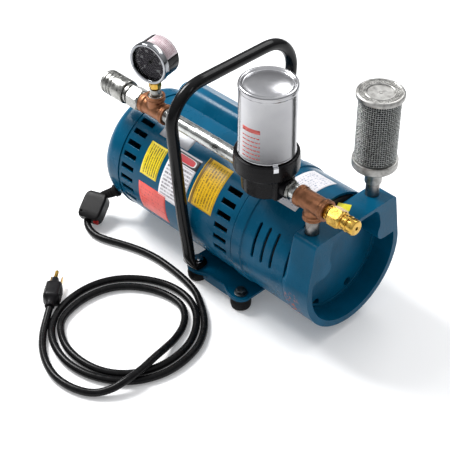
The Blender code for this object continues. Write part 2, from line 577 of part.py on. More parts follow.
def build_jar():
    at = (JAR_X, -PORT_Y, 0.0)
    lip = JAR_R + GAP + 0.2
    head = [(178.5, 0.0), (178.5, 25.0), (181.0, 27.5), (203.0, 28.0), (206.0, 35.6), (208.0, 36.5),
            (JAR_LIP - 1.0, 36.5), (JAR_LIP, 35.6), (JAR_LIP, lip), (JAR_LIP - 6.0, lip),
            (JAR_LIP - 6.0, 23.0), (186.0, 23.0), (186.0, 0.0)]
    base = finish("jar_base", turned(head, (0, 0, 1), at, 20, closed=False), PLASTIC)
    port = (0.0, -PORT_Y, PIPE_Z)
    block = box((JAR_X + 10.0, -PORT_Y - 15.0, 181.0), (JAR_X + 30.0, -PORT_Y + 15.0, 217.0))
    carve(base, "UNION", tube(34.0, 58.0, 9.5, 14.2, at=port), block, tube(100.0, 109.0, 9.5, 11.5, at=port))
    carve(base, "DIFFERENCE", rod(32.0, 60.0, SOCKET_R, at=port), rod(86.0, 114.0, SOCKET_R, at=port),
          rod(186.0, 219.5, 23.0, (0, 0, 1), at, 20))

    skin = 1.2
    foot = JAR_LIP - 5.7
    can = [(foot, JAR_R), (307.0, JAR_R), (310.6, 31.2), (312.6, 29.2), (312.7, 27.4), (312.1, 25.8),
           (313.3, 15.0), (JAR_TOP, 0.0)]
    inner = [(JAR_TOP - skin, 0.0), (313.3 - skin, 15.0), (312.1 - skin, 25.8), (311.3, 28.2),
             (309.4, 30.0), (306.4, JAR_R - skin), (foot, JAR_R - skin)]
    finish("jar_cover", turned(can + inner, (0, 0, 1), at, 24), ALUMINIUM, (JAR_X, -PORT_Y, foot))
    finish("jar_felt", tube(204.2, 288.0, 11.0, 20.0, (0, 0, 1), at), FELT)

    low, mid, high = JAR_LIP - 8.0, JAR_LIP + GAP, JAR_LIP + 1.8
    hook = [(JAR_R + 0.6, high), (JAR_R + 0.6, mid), (36.8, mid), (36.8, low), (38.3, low), (38.3, high)]
    width, bearing = 6.0, math.radians(-30.6)
    clip = prism(hook, width, Matrix.Rotation(math.radians(90.0), 4, "X"))
    clip.transform(Matrix.Translation((JAR_X, -PORT_Y, 0.0)) @ Matrix.Rotation(bearing, 4, "Z")
                   @ Matrix.Translation((0.0, width / 2, 0.0)))
    finish("jar_clip", clip, CHROME)


def build_gauge():
    stem_at = (REAR_TEE_X, -PORT_Y, 0.0)
    shoulder = PIPE_Z + 20.3
    reducer = [(203.0, 3.8), (203.0, 8.3), (shoulder, 8.3), (shoulder, 6.6), (221.6, 6.6), (221.6, 3.8)]
    finish("gauge_bushing", turned(reducer, (0, 0, 1), stem_at), STEEL)

    facing = (math.sin(GAUGE_YAW), -math.cos(GAUGE_YAW), 0.0)
    centre = (REAR_TEE_X, -PORT_Y, GAUGE_Z)
    pan = [(-14.0, 0.0), (-14.0, 21.5), (-11.5, 24.2), (9.0, 24.2), (9.0, 23.0), (-9.0, 23.0), (-9.0, 0.0)]
    case = finish("gauge_case", turned(pan, facing, centre, 20, closed=False), BLACK)
    stem = [(212.0, 0.0), (212.0, 3.5), (221.9, 3.5), (221.9, 5.0), (237.0, 5.0), (237.0, 0.0)]
    carve(case, "UNION", turned(stem, (0, 0, 1), stem_at, 16, closed=False),
          along_z(hexagon(13.0, 12.0), 222.4, 230.4, at=stem_at[:2]))
    finish("gauge_dial", tube(4.6, 5.6, 1.6, 22.4, facing, centre, 20), DIAL)
    finish("gauge_lens", rod(9.3, 10.9, 23.4, facing, centre, 20), GLASS)
    rim = [(6.0, 24.5), (6.0, GAUGE_R), (11.6, GAUGE_R), (13.0, 23.8), (13.0, 21.4), (11.2, 21.4),
           (11.2, 24.5)]
    finish("gauge_bezel", turned(rim, facing, centre, 20), CHROME)

    # The needle is drawn in its own plane, then turned to face along the dial's normal.
    plane = Matrix.Translation(centre) @ Matrix.Rotation(GAUGE_YAW, 4, "Z") @ Matrix(
        ((1, 0, 0, 0), (0, 0, -1, 0), (0, 1, 0, 0), (0, 0, 0, 1))) @ Matrix.Rotation(-POINTER_REST, 4, "Z")
    blade = [(-1.0, -6.5), (1.0, -6.5), (1.3, 0.0), (0.35, 17.0), (-0.35, 17.0), (-1.3, 0.0)]
    needle = prism(blade, 0.7, plane @ Matrix.Translation((0.0, 0.0, 6.6)))
    pointer = finish("gauge_pointer", needle, BLACK, centre)
    carve(pointer, "UNION", rod(3.4, 7.9, 1.2, facing, centre, 12))


def build_coupler():
    at = (0.0, -PORT_Y, PIPE_Z)
    hex_front = REAR_TEE_X - TEE_HALF - GAP
    core = [(-193.0, 5.4), (-193.0, 9.0), (-148.0, 9.0), (-148.0, 11.0), (hex_front, 11.0), (hex_front, 8.3),
            (-114.0, 8.3), (-114.0, 5.4)]
    body = finish("coupler_body", turned(core, at=at), STEEL)
    carve(body, "UNION", along_x(hexagon(24.0, 30.0), -147.6, hex_front, at=(-PORT_Y, PIPE_Z)))
    carve(body, "DIFFERENCE", rod(-204.0, -112.0, 5.4, at=at))
    ridges = [(-191.0, 12.6), (-190.0, 14.6), (-183.0, 14.8), (-181.6, 13.2), (-178.6, 13.2), (-177.2, 14.8),
              (-174.0, 14.8), (-172.6, 13.2), (-169.6, 13.2), (-168.2, 14.8), (-153.6, 14.8), (-152.6, 14.0)]
    sleeve = [(-191.0, 9.4)] + ridges + [(-152.6, 9.4)]
    finish("coupler_sleeve", turned(sleeve, at=at), STEEL, at)


# Inlet filter ------------------------------------------------------------------------------------

def build_filter():
    at = (PORT_X, PORT_Y, 0.0)
    funnel = [(171.0, NIPPLE_R + GAP), (171.0, 9.6), (184.0, 9.8), (190.5, 16.0), (194.0, 25.6),
              (204.0, 25.6), (204.0, 6.0), (187.0, 6.0), (187.0, NIPPLE_R + GAP)]
    finish("filter_base", turned(funnel, (0, 0, 1), at, 20), STEEL)
    finish("filter_mesh", tube(204.3, 282.0, FILTER_R - 1.2, FILTER_R, (0, 0, 1), at, 20), STEEL)
    cap = [(282.3, 0.0), (282.3, 25.4), (283.3, 26.4), (287.6, 26.6), (FILTER_TOP, 24.6), (288.6, 17.0),
           (286.9, 15.4), (286.9, 0.0)]
    finish("filter_cap", turned(cap, (0, 0, 1), at, 20, closed=False), ALUMINIUM)


# Cord --------------------------------------------------------------------------------------------

def switch_frame():
    """Local x is the block's width, local y runs along the cord, local z is its thickness."""
    forward = Vector(SWITCH_AXIS).normalized()
    across = Vector((0.0, 0.0, 1.0)).cross(forward).normalized()
    turn = Matrix((across, forward, across.cross(forward))).transposed()
    return Matrix.Translation(SWITCH_CENTRE) @ turn.to_4x4()


def build_cord():
    start, end = Vector(RELIEF_FROM), Vector(RELIEF_TO)
    length = (end - start).length
    boot = [(0.0, 0.0), (0.0, 8.4), (2.2, 8.4), (2.6, 6.8), (length, 5.4), (length, 0.0)]
    finish("strain_relief", turned(boot, end - start, start, 16, closed=False), RUBBER)
    swept("cord_lead", smooth(LEAD_ROUTE, 4.5), CORD_R, RUBBER)
    swept("power_cord", smooth(CORD_ROUTE, CORD_STEP), CORD_R, RUBBER)

    wide, long, thick = SWITCH_SIZE
    place = switch_frame()
    half = (wide / 2, long / 2, thick / 2)
    block = box((-half[0], -half[1], -half[2]), half)
    bmesh.ops.bevel(block, geom=block.edges[:], offset=4.0, segments=2, profile=0.5, affect="EDGES")
    block.transform(place)
    body = finish("switch_body", block, PLASTIC)
    socket = box((6.6, half[1] - 6.0, -4.0), (13.0, half[1] + 2.0, 4.0))
    socket.transform(place)
    entries = []
    for route in (LEAD_ROUTE[:-3:-1], CORD_ROUTE[:2]):
        inner, outer = Vector(route[0]), Vector(route[1])
        entries.append(rod(-2.0, 20.0, CORD_R + 5 * GAP, outer - inner, inner, 16))
    carve(body, "DIFFERENCE", merged(*entries), socket)
    button = box((7.0, half[1] - 3.4, -3.6), (12.6, half[1] + 2.2, 3.6))
    button.transform(place)
    finish("switch_button", button, RED, SWITCH_CENTRE)

    build_plug()


def build_plug():
    """A moulded grip with a raised snout round the earth pin, two flat blades and the round pin."""
    axis = Vector((*PLUG_AXIS, 0.0)).normalized()
    place = Matrix.Translation((*PLUG_FROM, PLUG_Z)) @ frame_of(axis)
    thick, blade_at, pin_z = 11.0, 6.35, 7.2
    face = 35.0
    side = [(0.6, 5.0), (7.0, 6.0), (12.0, 8.4), (16.0, 10.2), (face, 10.2)]
    grip = side + [(x, -y) for x, y in reversed(side)]
    shell = prism(grip, 2 * thick, Matrix.Translation((0.0, 0.0, -thick)))
    rims = [e for e in shell.edges if abs(abs(e.verts[0].co.z) - thick) < 0.01
            and abs(e.verts[0].co.z - e.verts[1].co.z) < 0.01]
    bmesh.ops.bevel(shell, geom=rims, offset=3.0, segments=2, profile=0.5, affect="EDGES")
    shell.transform(place)
    plug = finish("plug", shell, PLASTIC)
    snout = box((face - 3.0, -4.6, -thick + 5.0), (face + 8.0, 4.6, thick - 0.5))
    parts = [snout, rod(face - 2.0, 56.0, 2.4, sides=12)]
    parts[1].transform(Matrix.Translation((0.0, 0.0, pin_z)))
    for sign in (-1.0, 1.0):
        low, high = sign * blade_at - 0.75, sign * blade_at + 0.75
        parts.append(box((face - 2.0, low, -4.2), (face + 17.0, high, 2.2)))
    for part in parts:
        part.transform(place)
    carve(plug, "UNION", *parts)


def put_origin_under_middle():
    """The coupler reaches less far back than the valve does forward, so the box's middle is off the shell's."""
    for piece in bpy.context.scene.objects:
        piece.location.x -= 5.0 * MM


def build():
    clear_scene()
    build_motor()
    build_shaft_group()
    build_pump()
    build_capacitor()
    build_base()
    build_handle()
    build_pipework()
    build_jar()
    build_gauge()
    build_coupler()
    build_filter()
    build_cord()
    put_origin_under_middle()


build()
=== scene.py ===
"""Portable oil-less rotary vane air pump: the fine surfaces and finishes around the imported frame.

Lengths are in millimetres until a mesh is written, which is in metres, in the frame's own axes:
+X along the shaft towards the open front, -Y towards the pipework, +Z up, floor at Z = 0. X is
measured here from the middle of the motor shell, and TO_FRAME takes it to the frame's origin.
"""

import math
import random

import bmesh
import bpy
from mathutils import Matrix, Vector, noise as fractal


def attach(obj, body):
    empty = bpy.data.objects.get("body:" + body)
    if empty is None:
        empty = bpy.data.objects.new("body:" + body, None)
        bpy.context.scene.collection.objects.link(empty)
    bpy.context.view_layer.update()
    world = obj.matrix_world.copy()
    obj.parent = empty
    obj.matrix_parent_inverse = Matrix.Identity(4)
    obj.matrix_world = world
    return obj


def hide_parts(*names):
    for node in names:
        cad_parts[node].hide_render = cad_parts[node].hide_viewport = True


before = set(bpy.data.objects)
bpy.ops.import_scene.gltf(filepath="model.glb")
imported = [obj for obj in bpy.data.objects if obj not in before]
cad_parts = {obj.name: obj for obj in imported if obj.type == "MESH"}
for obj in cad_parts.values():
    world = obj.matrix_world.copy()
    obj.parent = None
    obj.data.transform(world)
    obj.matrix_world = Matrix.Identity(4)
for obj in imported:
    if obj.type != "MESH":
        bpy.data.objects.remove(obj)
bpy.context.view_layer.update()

MM = 0.001
AXIS_Z = 88.0
SHELL_R = 75.0
PORT_X, PORT_Y, PIPE_Z = 142.5, 49.0, 193.0
JAR_X, REAR_TEE_X, TEE_HALF = 73.0, -106.0, 21.5
FOOT_X, FOOT_Y = (-20.9, 52.5), 65.5
PLATE = (16.0, 19.0)
JAR_LIP = 227.2
GAUGE_Z, GAUGE_YAW = 259.6, math.radians(11.8)
POINTER_REST = math.radians(36.5)
CORD_R = 4.4
FLOOR_Z = CORD_R + 0.2
TO_FRAME = Matrix.Scale(MM, 4) @ Matrix.Translation((-5.0, 0.0, 0.0))
SHAFT = (0.0, 0.0, AXIS_Z)
PIPE = (0.0, -PORT_Y, PIPE_Z)
X_AXIS, Z_AXIS = (1, 0, 0), (0, 0, 1)

scene = bpy.context.scene


# Camera ------------------------------------------------------------------------------------------

def build_camera():
    data = bpy.data.cameras.new("camera")
    data.lens, data.sensor_width = 104.3, 36.0
    data.clip_start, data.clip_end = 0.05, 50.0
    camera = bpy.data.objects.new("camera", data)
    camera.location = (0.8506, -0.8713, 1.0343)
    camera.rotation_euler = (math.radians(51.23), 0.0, math.radians(45.84))
    scene.collection.objects.link(camera)
    scene.camera = camera


# Materials ---------------------------------------------------------------------------------------

class Graph:
    """Short names for the nodes of one material."""

    def __init__(self, name):
        self.material = bpy.data.materials.new(name)
        self.material.use_nodes = True
        self.tree = self.material.node_tree
        self.shader = self.tree.nodes["Principled BSDF"]

    def put(self, socket, value):
        if isinstance(value, bpy.types.NodeSocket):
            self.tree.links.new(value, socket)
        else:
            socket.default_value = value

    def node(self, kind, **inputs):
        made = self.tree.nodes.new(kind)
        for name, value in inputs.items():
            self.put(made.inputs[int(name[1:])] if name[0] == "i" and name[1:].isdigit()
                     else made.inputs[name], value)
        return made

    def math(self, operation, a, b=0.0, c=0.0):
        made = self.tree.nodes.new("ShaderNodeMath")
        made.operation = operation
        for socket, value in zip(made.inputs, (a, b, c)):
            self.put(socket, value)
        return made.outputs[0]

    def mix(self, factor, a, b):
        made = self.tree.nodes.new("ShaderNodeMix")
        made.data_type = "RGBA"
        self.put(made.inputs["Factor"], factor)
        self.put(made.inputs["A"], a)
        self.put(made.inputs["B"], b)
        return made.outputs["Result"]

    def place(self, kind="Object"):
        return self.tree.nodes.new("ShaderNodeTexCoord").outputs[kind]

    def noise(self, vector, scale, detail=3.0, stretch=(1.0, 1.0, 1.0)):
        if stretch != (1.0, 1.0, 1.0):
            mapping = self.tree.nodes.new("ShaderNodeMapping")
            mapping.inputs["Scale"].default_value = stretch
            self.put(mapping.inputs["Vector"], vector)
            vector = mapping.outputs[0]
        made = self.tree.nodes.new("ShaderNodeTexNoise")
        made.inputs["Scale"].default_value = scale
        made.inputs["Detail"].default_value = detail
        self.put(made.inputs["Vector"], vector)
        return made.outputs["Fac"]

    def between(self, value, low, high, out_low=0.0, out_high=1.0):
        made = self.tree.nodes.new("ShaderNodeMapRange")
        for socket, number in zip(made.inputs[:5], (value, low, high, out_low, out_high)):
            self.put(socket, number)
        return made.outputs[0]

    def bump(self, height, strength, distance):
        made = self.tree.nodes.new("ShaderNodeBump")
        made.inputs["Strength"].default_value = strength
        made.inputs["Distance"].default_value = distance
        self.put(made.inputs["Height"], height)
        self.put(self.shader.inputs["Normal"], made.outputs[0])


def rgb(red, green, blue):
    """An sRGB colour of 0 to 255 as the linear colour that a shader takes."""
    def linear(c):
        c /= 255.0
        return c / 12.92 if c <= 0.04045 else ((c + 0.055) / 1.055) ** 2.4
    return (linear(red), linear(green), linear(blue), 1.0)


def surface(name, light, dark, rough, metallic=0.0, mottle=40.0, grain=900.0, bump=(0.1, 0.0002),
            stretch=(1.0, 1.0, 1.0), coat=0.0, dust=0.0):
    """A finish with blotches of two close colours, a roughness that varies with them, and a fine grain."""
    g = Graph(name)
    place = g.place()
    blotch = g.between(g.noise(place, mottle, 4.0), 0.35, 0.65)
    fine = g.noise(place, grain, 2.0, stretch)
    colour = g.mix(blotch, dark, light)
    if dust:
        up = g.node("ShaderNodeSeparateXYZ", Vector=g.tree.nodes.new("ShaderNodeNewGeometry").outputs["Normal"])
        settled = g.math("MULTIPLY", g.between(up.outputs["Z"], 0.4, 1.0, 0.0, dust), blotch)
        colour = g.mix(settled, colour, (0.5, 0.5, 0.48, 1.0))
    g.put(g.shader.inputs["Base Color"], colour)
    speck = g.math("MULTIPLY_ADD", fine, 0.3, g.math("MULTIPLY", blotch, 0.7))
    g.put(g.shader.inputs["Roughness"], g.between(speck, 0.2, 0.8, *rough))
    g.shader.inputs["Metallic"].default_value = metallic
    g.shader.inputs["Coat Weight"].default_value = coat
    g.shader.inputs["Coat Roughness"].default_value = 0.12
    g.shader.inputs["Specular IOR Level"].default_value = 0.5 if metallic else 0.12
    g.bump(fine, *bump)
    return g.material


FINISHES = {
    # name: (light, dark, roughness, metallic, mottle scale, grain scale, bump, stretch, coat, dust)
    "blue_enamel": ((0, 80, 111), (0, 70, 98), (0.22, 0.34), 0.0, 22.0, 260.0, (0.12, 0.0006), None, 0.03, 0.0),
    "cast_blue_enamel": ((0, 80, 111), (0, 70, 97), (0.28, 0.42), 0.0, 30.0, 420.0, (0.22, 0.0008), None, 0.02, 0.0),
    "black_enamel": ((17, 17, 18), (11, 11, 12), (0.14, 0.24), 0.0, 60.0, 500.0, (0.06, 0.0004), None, 0.12, 0.0),
    "black_plastic": ((24, 23, 25), (17, 16, 18), (0.3, 0.44), 0.0, 70.0, 1400.0, (0.22, 0.0003), None, 0.0, 0.0),
    "switch_plastic": ((20, 19, 20), (13, 12, 13), (0.3, 0.42), 0.0, 90.0, 1600.0, (0.22, 0.0003), None, 0.0, 0.0),
    "jar_moulding": ((20, 19, 21), (12, 11, 13), (0.2, 0.34), 0.0, 60.0, 900.0, (0.12, 0.0003), None, 0.0, 0.0),
    "black_rubber": ((20, 19, 20), (14, 13, 14), (0.5, 0.7), 0.0, 80.0, 1500.0, (0.3, 0.0003), None, 0.0, 0.0),
    "cord_jacket": ((18, 18, 19), (12, 12, 13), (0.2, 0.3), 0.0, 120.0, 1800.0, (0.12, 0.0002), None, 0.0, 0.0),
    "zinc_steel": ((168, 168, 165), (128, 128, 124), (0.2, 0.4), 1.0, 180.0, 1500.0, (0.12, 0.0002), None, 0.0, 0.0),
    "dull_zinc": ((106, 112, 115), (72, 79, 82), (0.28, 0.46), 1.0, 180.0, 1500.0, (0.12, 0.0002), None, 0.0, 0.0),
    "galvanised_pipe": ((192, 194, 192), (164, 166, 164), (0.18, 0.3), 1.0, 120.0, 700.0, (0.03, 0.0001),
                        (0.15, 1.0, 1.0), 0.0, 0.0),
    "satin_nipple": ((150, 148, 146), (112, 108, 104), (0.26, 0.42), 1.0, 120.0, 900.0, (0.1, 0.0002), None, 0.0, 0.0),
    "bronze": ((156, 108, 80), (116, 78, 54), (0.4, 0.58), 1.0, 150.0, 900.0, (0.3, 0.0004), None, 0.0, 0.0),
    "brass": ((216, 176, 88), (184, 144, 62), (0.16, 0.3), 1.0, 150.0, 1600.0, (0.06, 0.0002), None, 0.0, 0.0),
    "polished_aluminium": ((178, 178, 180), (170, 170, 173), (0.2, 0.24), 1.0, 50.0, 300.0, (0.05, 0.0002),
                           (1.0, 1.0, 0.08), 0.0, 0.0),
    "cast_aluminium": ((176, 175, 172), (136, 135, 132), (0.3, 0.48), 1.0, 200.0, 1200.0, (0.3, 0.0003), None, 0.0, 0.0),
    # a darker copy of chrome for the gauge bezel: its colour is painted shade for the dark reflections on the bezel
    "painted_shade_chrome": ((160, 162, 165), (138, 140, 144), (0.1, 0.18), 1.0, 60.0, 900.0, (0.02, 0.0001), None, 0.0, 0.0),
    "chrome": ((206, 207, 210), (184, 185, 189), (0.05, 0.13), 1.0, 60.0, 900.0, (0.02, 0.0001), None, 0.0, 0.0),
    "cast_iron": ((92, 92, 94), (66, 66, 68), (0.5, 0.7), 0.9, 120.0, 900.0, (0.4, 0.0006), None, 0.0, 0.0),
    "enamelled_wire": ((178, 96, 52), (138, 66, 34), (0.3, 0.45), 0.8, 160.0, 600.0, (0.6, 0.001), (6.0, 1.0, 1.0), 0.0, 0.0),
    "carbon": ((52, 52, 54), (40, 40, 42), (0.45, 0.6), 0.0, 200.0, 1800.0, (0.2, 0.0002), None, 0.0, 0.0),
    "filter_felt": ((226, 222, 208), (200, 196, 180), (0.85, 0.98), 0.0, 160.0, 1400.0, (0.9, 0.0012), None, 0.0, 0.0),
    "can_print_ink": ((206, 110, 104), (190, 84, 80), (0.4, 0.5), 0.0, 300.0, 1500.0, (0.05, 0.0001), None, 0.0, 0.0),
    "red_plastic": ((180, 30, 26), (150, 20, 18), (0.25, 0.4), 0.0, 90.0, 1200.0, (0.1, 0.0002), None, 0.0, 0.0),
    "filter_element": ((20, 21, 22), (9, 10, 10), (0.7, 0.9), 0.0, 260.0, 1500.0, (0.8, 0.0008), None, 0.0, 0.0),
    "mesh_wire": ((190, 192, 190), (140, 143, 142), (0.22, 0.4), 1.0, 500.0, 2500.0, (0.1, 0.0001), None, 0.0, 0.0),
    "gauge_dial": ((60, 57, 64), (50, 47, 54), (0.5, 0.62), 0.0, 140.0, 1500.0, (0.05, 0.0001), None, 0.0, 0.0),
    "dial_print": ((188, 188, 190), (168, 168, 172), (0.5, 0.6), 0.0, 40.0, 900.0, (0.02, 0.0001), None, 0.0, 0.0),
    "pointer_black": ((14, 14, 15), (10, 10, 11), (0.4, 0.5), 0.0, 40.0, 900.0, (0.02, 0.0001), None, 0.0, 0.0),
}

SHORT = {
    "paint": "blue_enamel", "cast_paint": "cast_blue_enamel", "plastic": "black_plastic", "switch": "switch_plastic",
    "moulding": "jar_moulding", "rubber": "black_rubber", "cord": "cord_jacket", "zinc": "zinc_steel",
    "zinc_dark": "dull_zinc", "pipe": "galvanised_pipe", "nipple": "satin_nipple", "alu": "polished_aluminium",
    "cast_alu": "cast_aluminium", "iron": "cast_iron", "copper": "enamelled_wire", "felt": "filter_felt",
    "can_ink": "can_print_ink", "red": "red_plastic", "element": "filter_element", "wire": "mesh_wire",
    "dial": "gauge_dial", "print_white": "dial_print", "pointer": "pointer_black",
}


def build_materials():
    m = {}
    for name, (light, dark, rough, metallic, mottle, grain, bump, stretch, coat, dust) in FINISHES.items():
        m[name] = surface(name, rgb(*light), rgb(*dark), rough, metallic, mottle, grain, bump,
                          stretch or (1.0, 1.0, 1.0), coat, dust)
    for short, name in SHORT.items():
        m[short] = m[name]
    m["cowl_paint"] = orange_spotted_paint()
    glass = Graph("gauge_lens")
    glass.shader.inputs["Base Color"].default_value = (0.0, 0.0, 0.0, 1.0)
    glass.shader.inputs["Alpha"].default_value = 0.1
    glass.shader.inputs["Specular IOR Level"].default_value = 0.5
    haze = glass.noise(glass.place(), 90.0)
    glass.put(glass.shader.inputs["Roughness"], glass.between(haze, 0.3, 0.7, 0.03, 0.09))
    m["glass"] = glass.material
    return m


def orange_spotted_paint():
    """Cast enamel with rougher orange-brown spots on the near lower side."""
    g = Graph("cowl_enamel")
    place = g.place()
    blotch = g.between(g.noise(place, 30.0, 4.0), 0.35, 0.65)
    fine = g.noise(place, 420.0, 2.0)
    split = g.node("ShaderNodeSeparateXYZ", Vector=place)
    near = g.math("MULTIPLY", g.between(split.outputs["Y"], -0.04, -0.056), g.between(split.outputs["Z"], 0.085, 0.06))
    near = g.math("MULTIPLY", near, g.between(split.outputs["X"], 0.147, 0.141))
    patchy = g.math("MULTIPLY", near, g.between(g.noise(place, 330.0, 4.0), 0.57, 0.6))
    colour = g.mix(blotch, rgb(0, 71, 99), rgb(0, 82, 114))
    g.put(g.shader.inputs["Base Color"], g.mix(patchy, colour, rgb(176, 92, 62)))
    speck = g.math("MAXIMUM", g.between(fine, 0.2, 0.8, 0.26, 0.4), g.math("MULTIPLY", patchy, 0.7))
    g.put(g.shader.inputs["Roughness"], speck)
    g.shader.inputs["Specular IOR Level"].default_value = 0.12
    g.bump(fine, 0.22, 0.0008)
    return g.material


def label_material(name, ground, ink, rows, words, fill=0.55, header=None, gloss=0.35, margin=0.06, fade=0.12):
    """A printed label on its UVs: u runs along each line of the blocks, v across the lines.

    header is (start of the band in v, its colour, colour of a rounded block inside it or None).
    """
    g = Graph(name)
    split = g.node("ShaderNodeSeparateXYZ", Vector=g.place("UV"))
    u, v = split.outputs["X"], split.outputs["Y"]
    row = g.math("MULTIPLY", v, float(rows))
    inside_row = g.math("LESS_THAN", g.math("ABSOLUTE", g.math("SUBTRACT", g.math("FRACT", row), 0.5)), 0.26)
    spot = g.node("ShaderNodeCombineXYZ", X=g.math("MULTIPLY", u, float(words)), Y=g.math("FLOOR", row))
    broken = g.math("GREATER_THAN", g.noise(spot.outputs[0], 3.1, 1.0), 1.0 - fill)
    top = header[0] if header else 1.0 - margin
    body = g.math("MULTIPLY", g.math("LESS_THAN", v, top - 0.02), g.math("GREATER_THAN", v, margin))
    sides = g.math("LESS_THAN", g.math("ABSOLUTE", g.math("SUBTRACT", u, 0.5)), 0.5 - margin)
    printed = g.math("MULTIPLY", g.math("MULTIPLY", inside_row, broken), g.math("MULTIPLY", body, sides))
    patchy = g.between(g.noise(g.place(), 160.0, 5.0), 0.35, 0.7, 1.0, 0.55)
    wash = g.between(g.noise(g.place(), 35.0, 3.0), 0.35, 0.7)
    faded = tuple(c * (1.0 - fade) for c in ground[:3]) + (1.0,)
    colour = g.mix(wash, ground, faded)
    colour = g.mix(g.math("MULTIPLY", printed, patchy), colour, ink)
    if header:
        band = g.math("MULTIPLY", g.math("GREATER_THAN", v, top), g.math("LESS_THAN", v, 1.0 - 0.03))
        colour = g.mix(band, colour, header[1])
        if header[2]:
            middle = (top + 0.97) / 2
            reach = (0.97 - top) / 2
            du = g.math("DIVIDE", g.math("SUBTRACT", u, 0.5), 0.4)
            dv = g.math("DIVIDE", g.math("SUBTRACT", v, middle), reach * 0.72)
            oval = g.math("ADD", g.math("POWER", g.math("ABSOLUTE", du), 4.0),
                          g.math("POWER", g.math("ABSOLUTE", dv), 4.0))
            colour = g.mix(g.math("LESS_THAN", oval, 1.0), colour, (0.75, 0.75, 0.75, 1.0))
            colour = g.mix(g.math("LESS_THAN", oval, 0.62), colour, header[2])
    g.put(g.shader.inputs["Base Color"], colour)
    g.put(g.shader.inputs["Roughness"], g.between(wash, 0.0, 1.0, gloss - 0.06, gloss + 0.08))
    g.bump(g.noise(g.place(), 500.0), 0.05, 0.0002)
    return g.material


# Mesh building -----------------------------------------------------------------------------------

def finish(name, bm, material, body="frame", nodes=(), sharp=38.0, bevel=0.0, weighted=False):
    """Write a bmesh in millimetres as a piece in metres, parent it to the body it rides on, and hide the frame's nodes
    it stands in for.
    """
    bmesh.ops.recalc_face_normals(bm, faces=bm.faces)
    if bm.calc_volume(signed=True) < 0.0:
        bmesh.ops.reverse_faces(bm, faces=bm.faces)
    bmesh.ops.transform(bm, matrix=TO_FRAME, verts=bm.verts)
    mesh = bpy.data.meshes.new(name)
    bm.to_mesh(mesh)
    bm.free()
    mesh.shade_smooth()
    mesh.set_sharp_from_angle(angle=math.radians(sharp))
    mesh.materials.append(material)
    piece = bpy.data.objects.new(name, mesh)
    scene.collection.objects.link(piece)
    if bevel:
        soften = piece.modifiers.new("soft edges", "BEVEL")
        soften.width, soften.segments = bevel * MM, 3
        soften.limit_method, soften.angle_limit = "ANGLE", math.radians(38.0)
        soften.harden_normals = False
        soften.use_clamp_overlap = True
    if bevel or weighted:
        even = piece.modifiers.new("even shading", "WEIGHTED_NORMAL")
        even.keep_sharp = True
    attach(piece, body)
    if nodes:
        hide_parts(*nodes)
    return piece


def frame_of(axis):
    """Rotation that takes +X to the given axis."""
    return Vector((1.0, 0.0, 0.0)).rotation_difference(Vector(axis).normalized()).to_matrix().to_4x4()


def eased(outline, radius, closed=True, steps=3):
    """The outline with each corner of 25 degrees or more rounded to about the given radius."""
    points = [Vector(p) for p in outline]
    count = len(points)
    result = []
    for i, here in enumerate(points):
        if not closed and i in (0, count - 1):
            result.append(here)
            continue
        before, after = points[i - 1] - here, points[(i + 1) % count] - here
        if before.length < 1e-6 or after.length < 1e-6:
            result.append(here)
            continue
        angle = before.angle(after)
        if angle > math.radians(155.0):
            result.append(here)
            continue
        reach = min(radius / math.tan(angle / 2), 0.45 * before.length, 0.45 * after.length)
        start, end = here + before.normalized() * reach, here + after.normalized() * reach
        for k in range(steps + 1):
            t = k / steps
            result.append(start * (1 - t) ** 2 + here * 2 * t * (1 - t) + end * t ** 2)
    return [tuple(p) for p in result]


def turned(outline, axis=X_AXIS, at=(0.0, 0.0, 0.0), sides=96, closed=True, ease=0.0):
    """Spin an outline of (distance along the axis, radius) points about the axis."""
    if ease:
        outline = eased(outline, ease, closed)
    bm = bmesh.new()
    verts = [bm.verts.new((along, 0.0, radius)) for along, radius in outline]
    pairs = list(zip(verts, verts[1:]))
    if closed:
        pairs.append((verts[-1], verts[0]))
    edges = [bm.edges.new(pair) for pair in pairs]
    bmesh.ops.spin(bm, geom=verts + edges, cent=(0, 0, 0), axis=(1, 0, 0), angle=2 * math.pi, steps=sides)
    bmesh.ops.remove_doubles(bm, verts=bm.verts, dist=1e-4)
    bm.transform(Matrix.Translation(at) @ frame_of(axis))
    return bm


def rod(start, end, radius, axis=X_AXIS, at=(0.0, 0.0, 0.0), sides=48, ease=0.0):
    return turned([(start, 0.0), (start, radius), (end, radius), (end, 0.0)], axis, at, sides, False, ease)


def tube(start, end, inner, outer, axis=X_AXIS, at=(0.0, 0.0, 0.0), sides=96, ease=0.0):
    return turned([(start, inner), (start, outer), (end, outer), (end, inner)], axis, at, sides, True, ease)


def prism(outline, depth, matrix):
    bm = bmesh.new()
    face = bm.faces.new([bm.verts.new((u, v, 0.0)) for u, v in outline])
    grown = bmesh.ops.extrude_face_region(bm, geom=[face])
    bmesh.ops.translate(bm, verts=[g for g in grown["geom"] if isinstance(g, bmesh.types.BMVert)],
                        vec=(0.0, 0.0, depth))
    bm.transform(matrix)
    return bm


ALONG_X = Matrix(((0, 0, 1, 0), (1, 0, 0, 0), (0, 1, 0, 0), (0, 0, 0, 1)))


def along_x(outline, start, end, at=(0.0, 0.0)):
    return prism(outline, end - start, Matrix.Translation((start, at[0], at[1])) @ ALONG_X)


def along_z(outline, start, end, at=(0.0, 0.0)):
    return prism(outline, end - start, Matrix.Translation((at[0], at[1], start)))


def box(low, high):
    corners = [(low[0], low[1]), (high[0], low[1]), (high[0], high[1]), (low[0], high[1])]
    return along_z(corners, low[2], high[2])


def arc(centre, radius, start, end, steps):
    turns = [math.radians(start + (end - start) * i / steps) for i in range(steps + 1)]
    return [(centre[0] + radius * math.cos(t), centre[1] + radius * math.sin(t)) for t in turns]


def hexagon(across_flats, turn=0.0):
    return arc((0.0, 0.0), across_flats / math.sqrt(3.0), turn, turn + 300.0, 5)


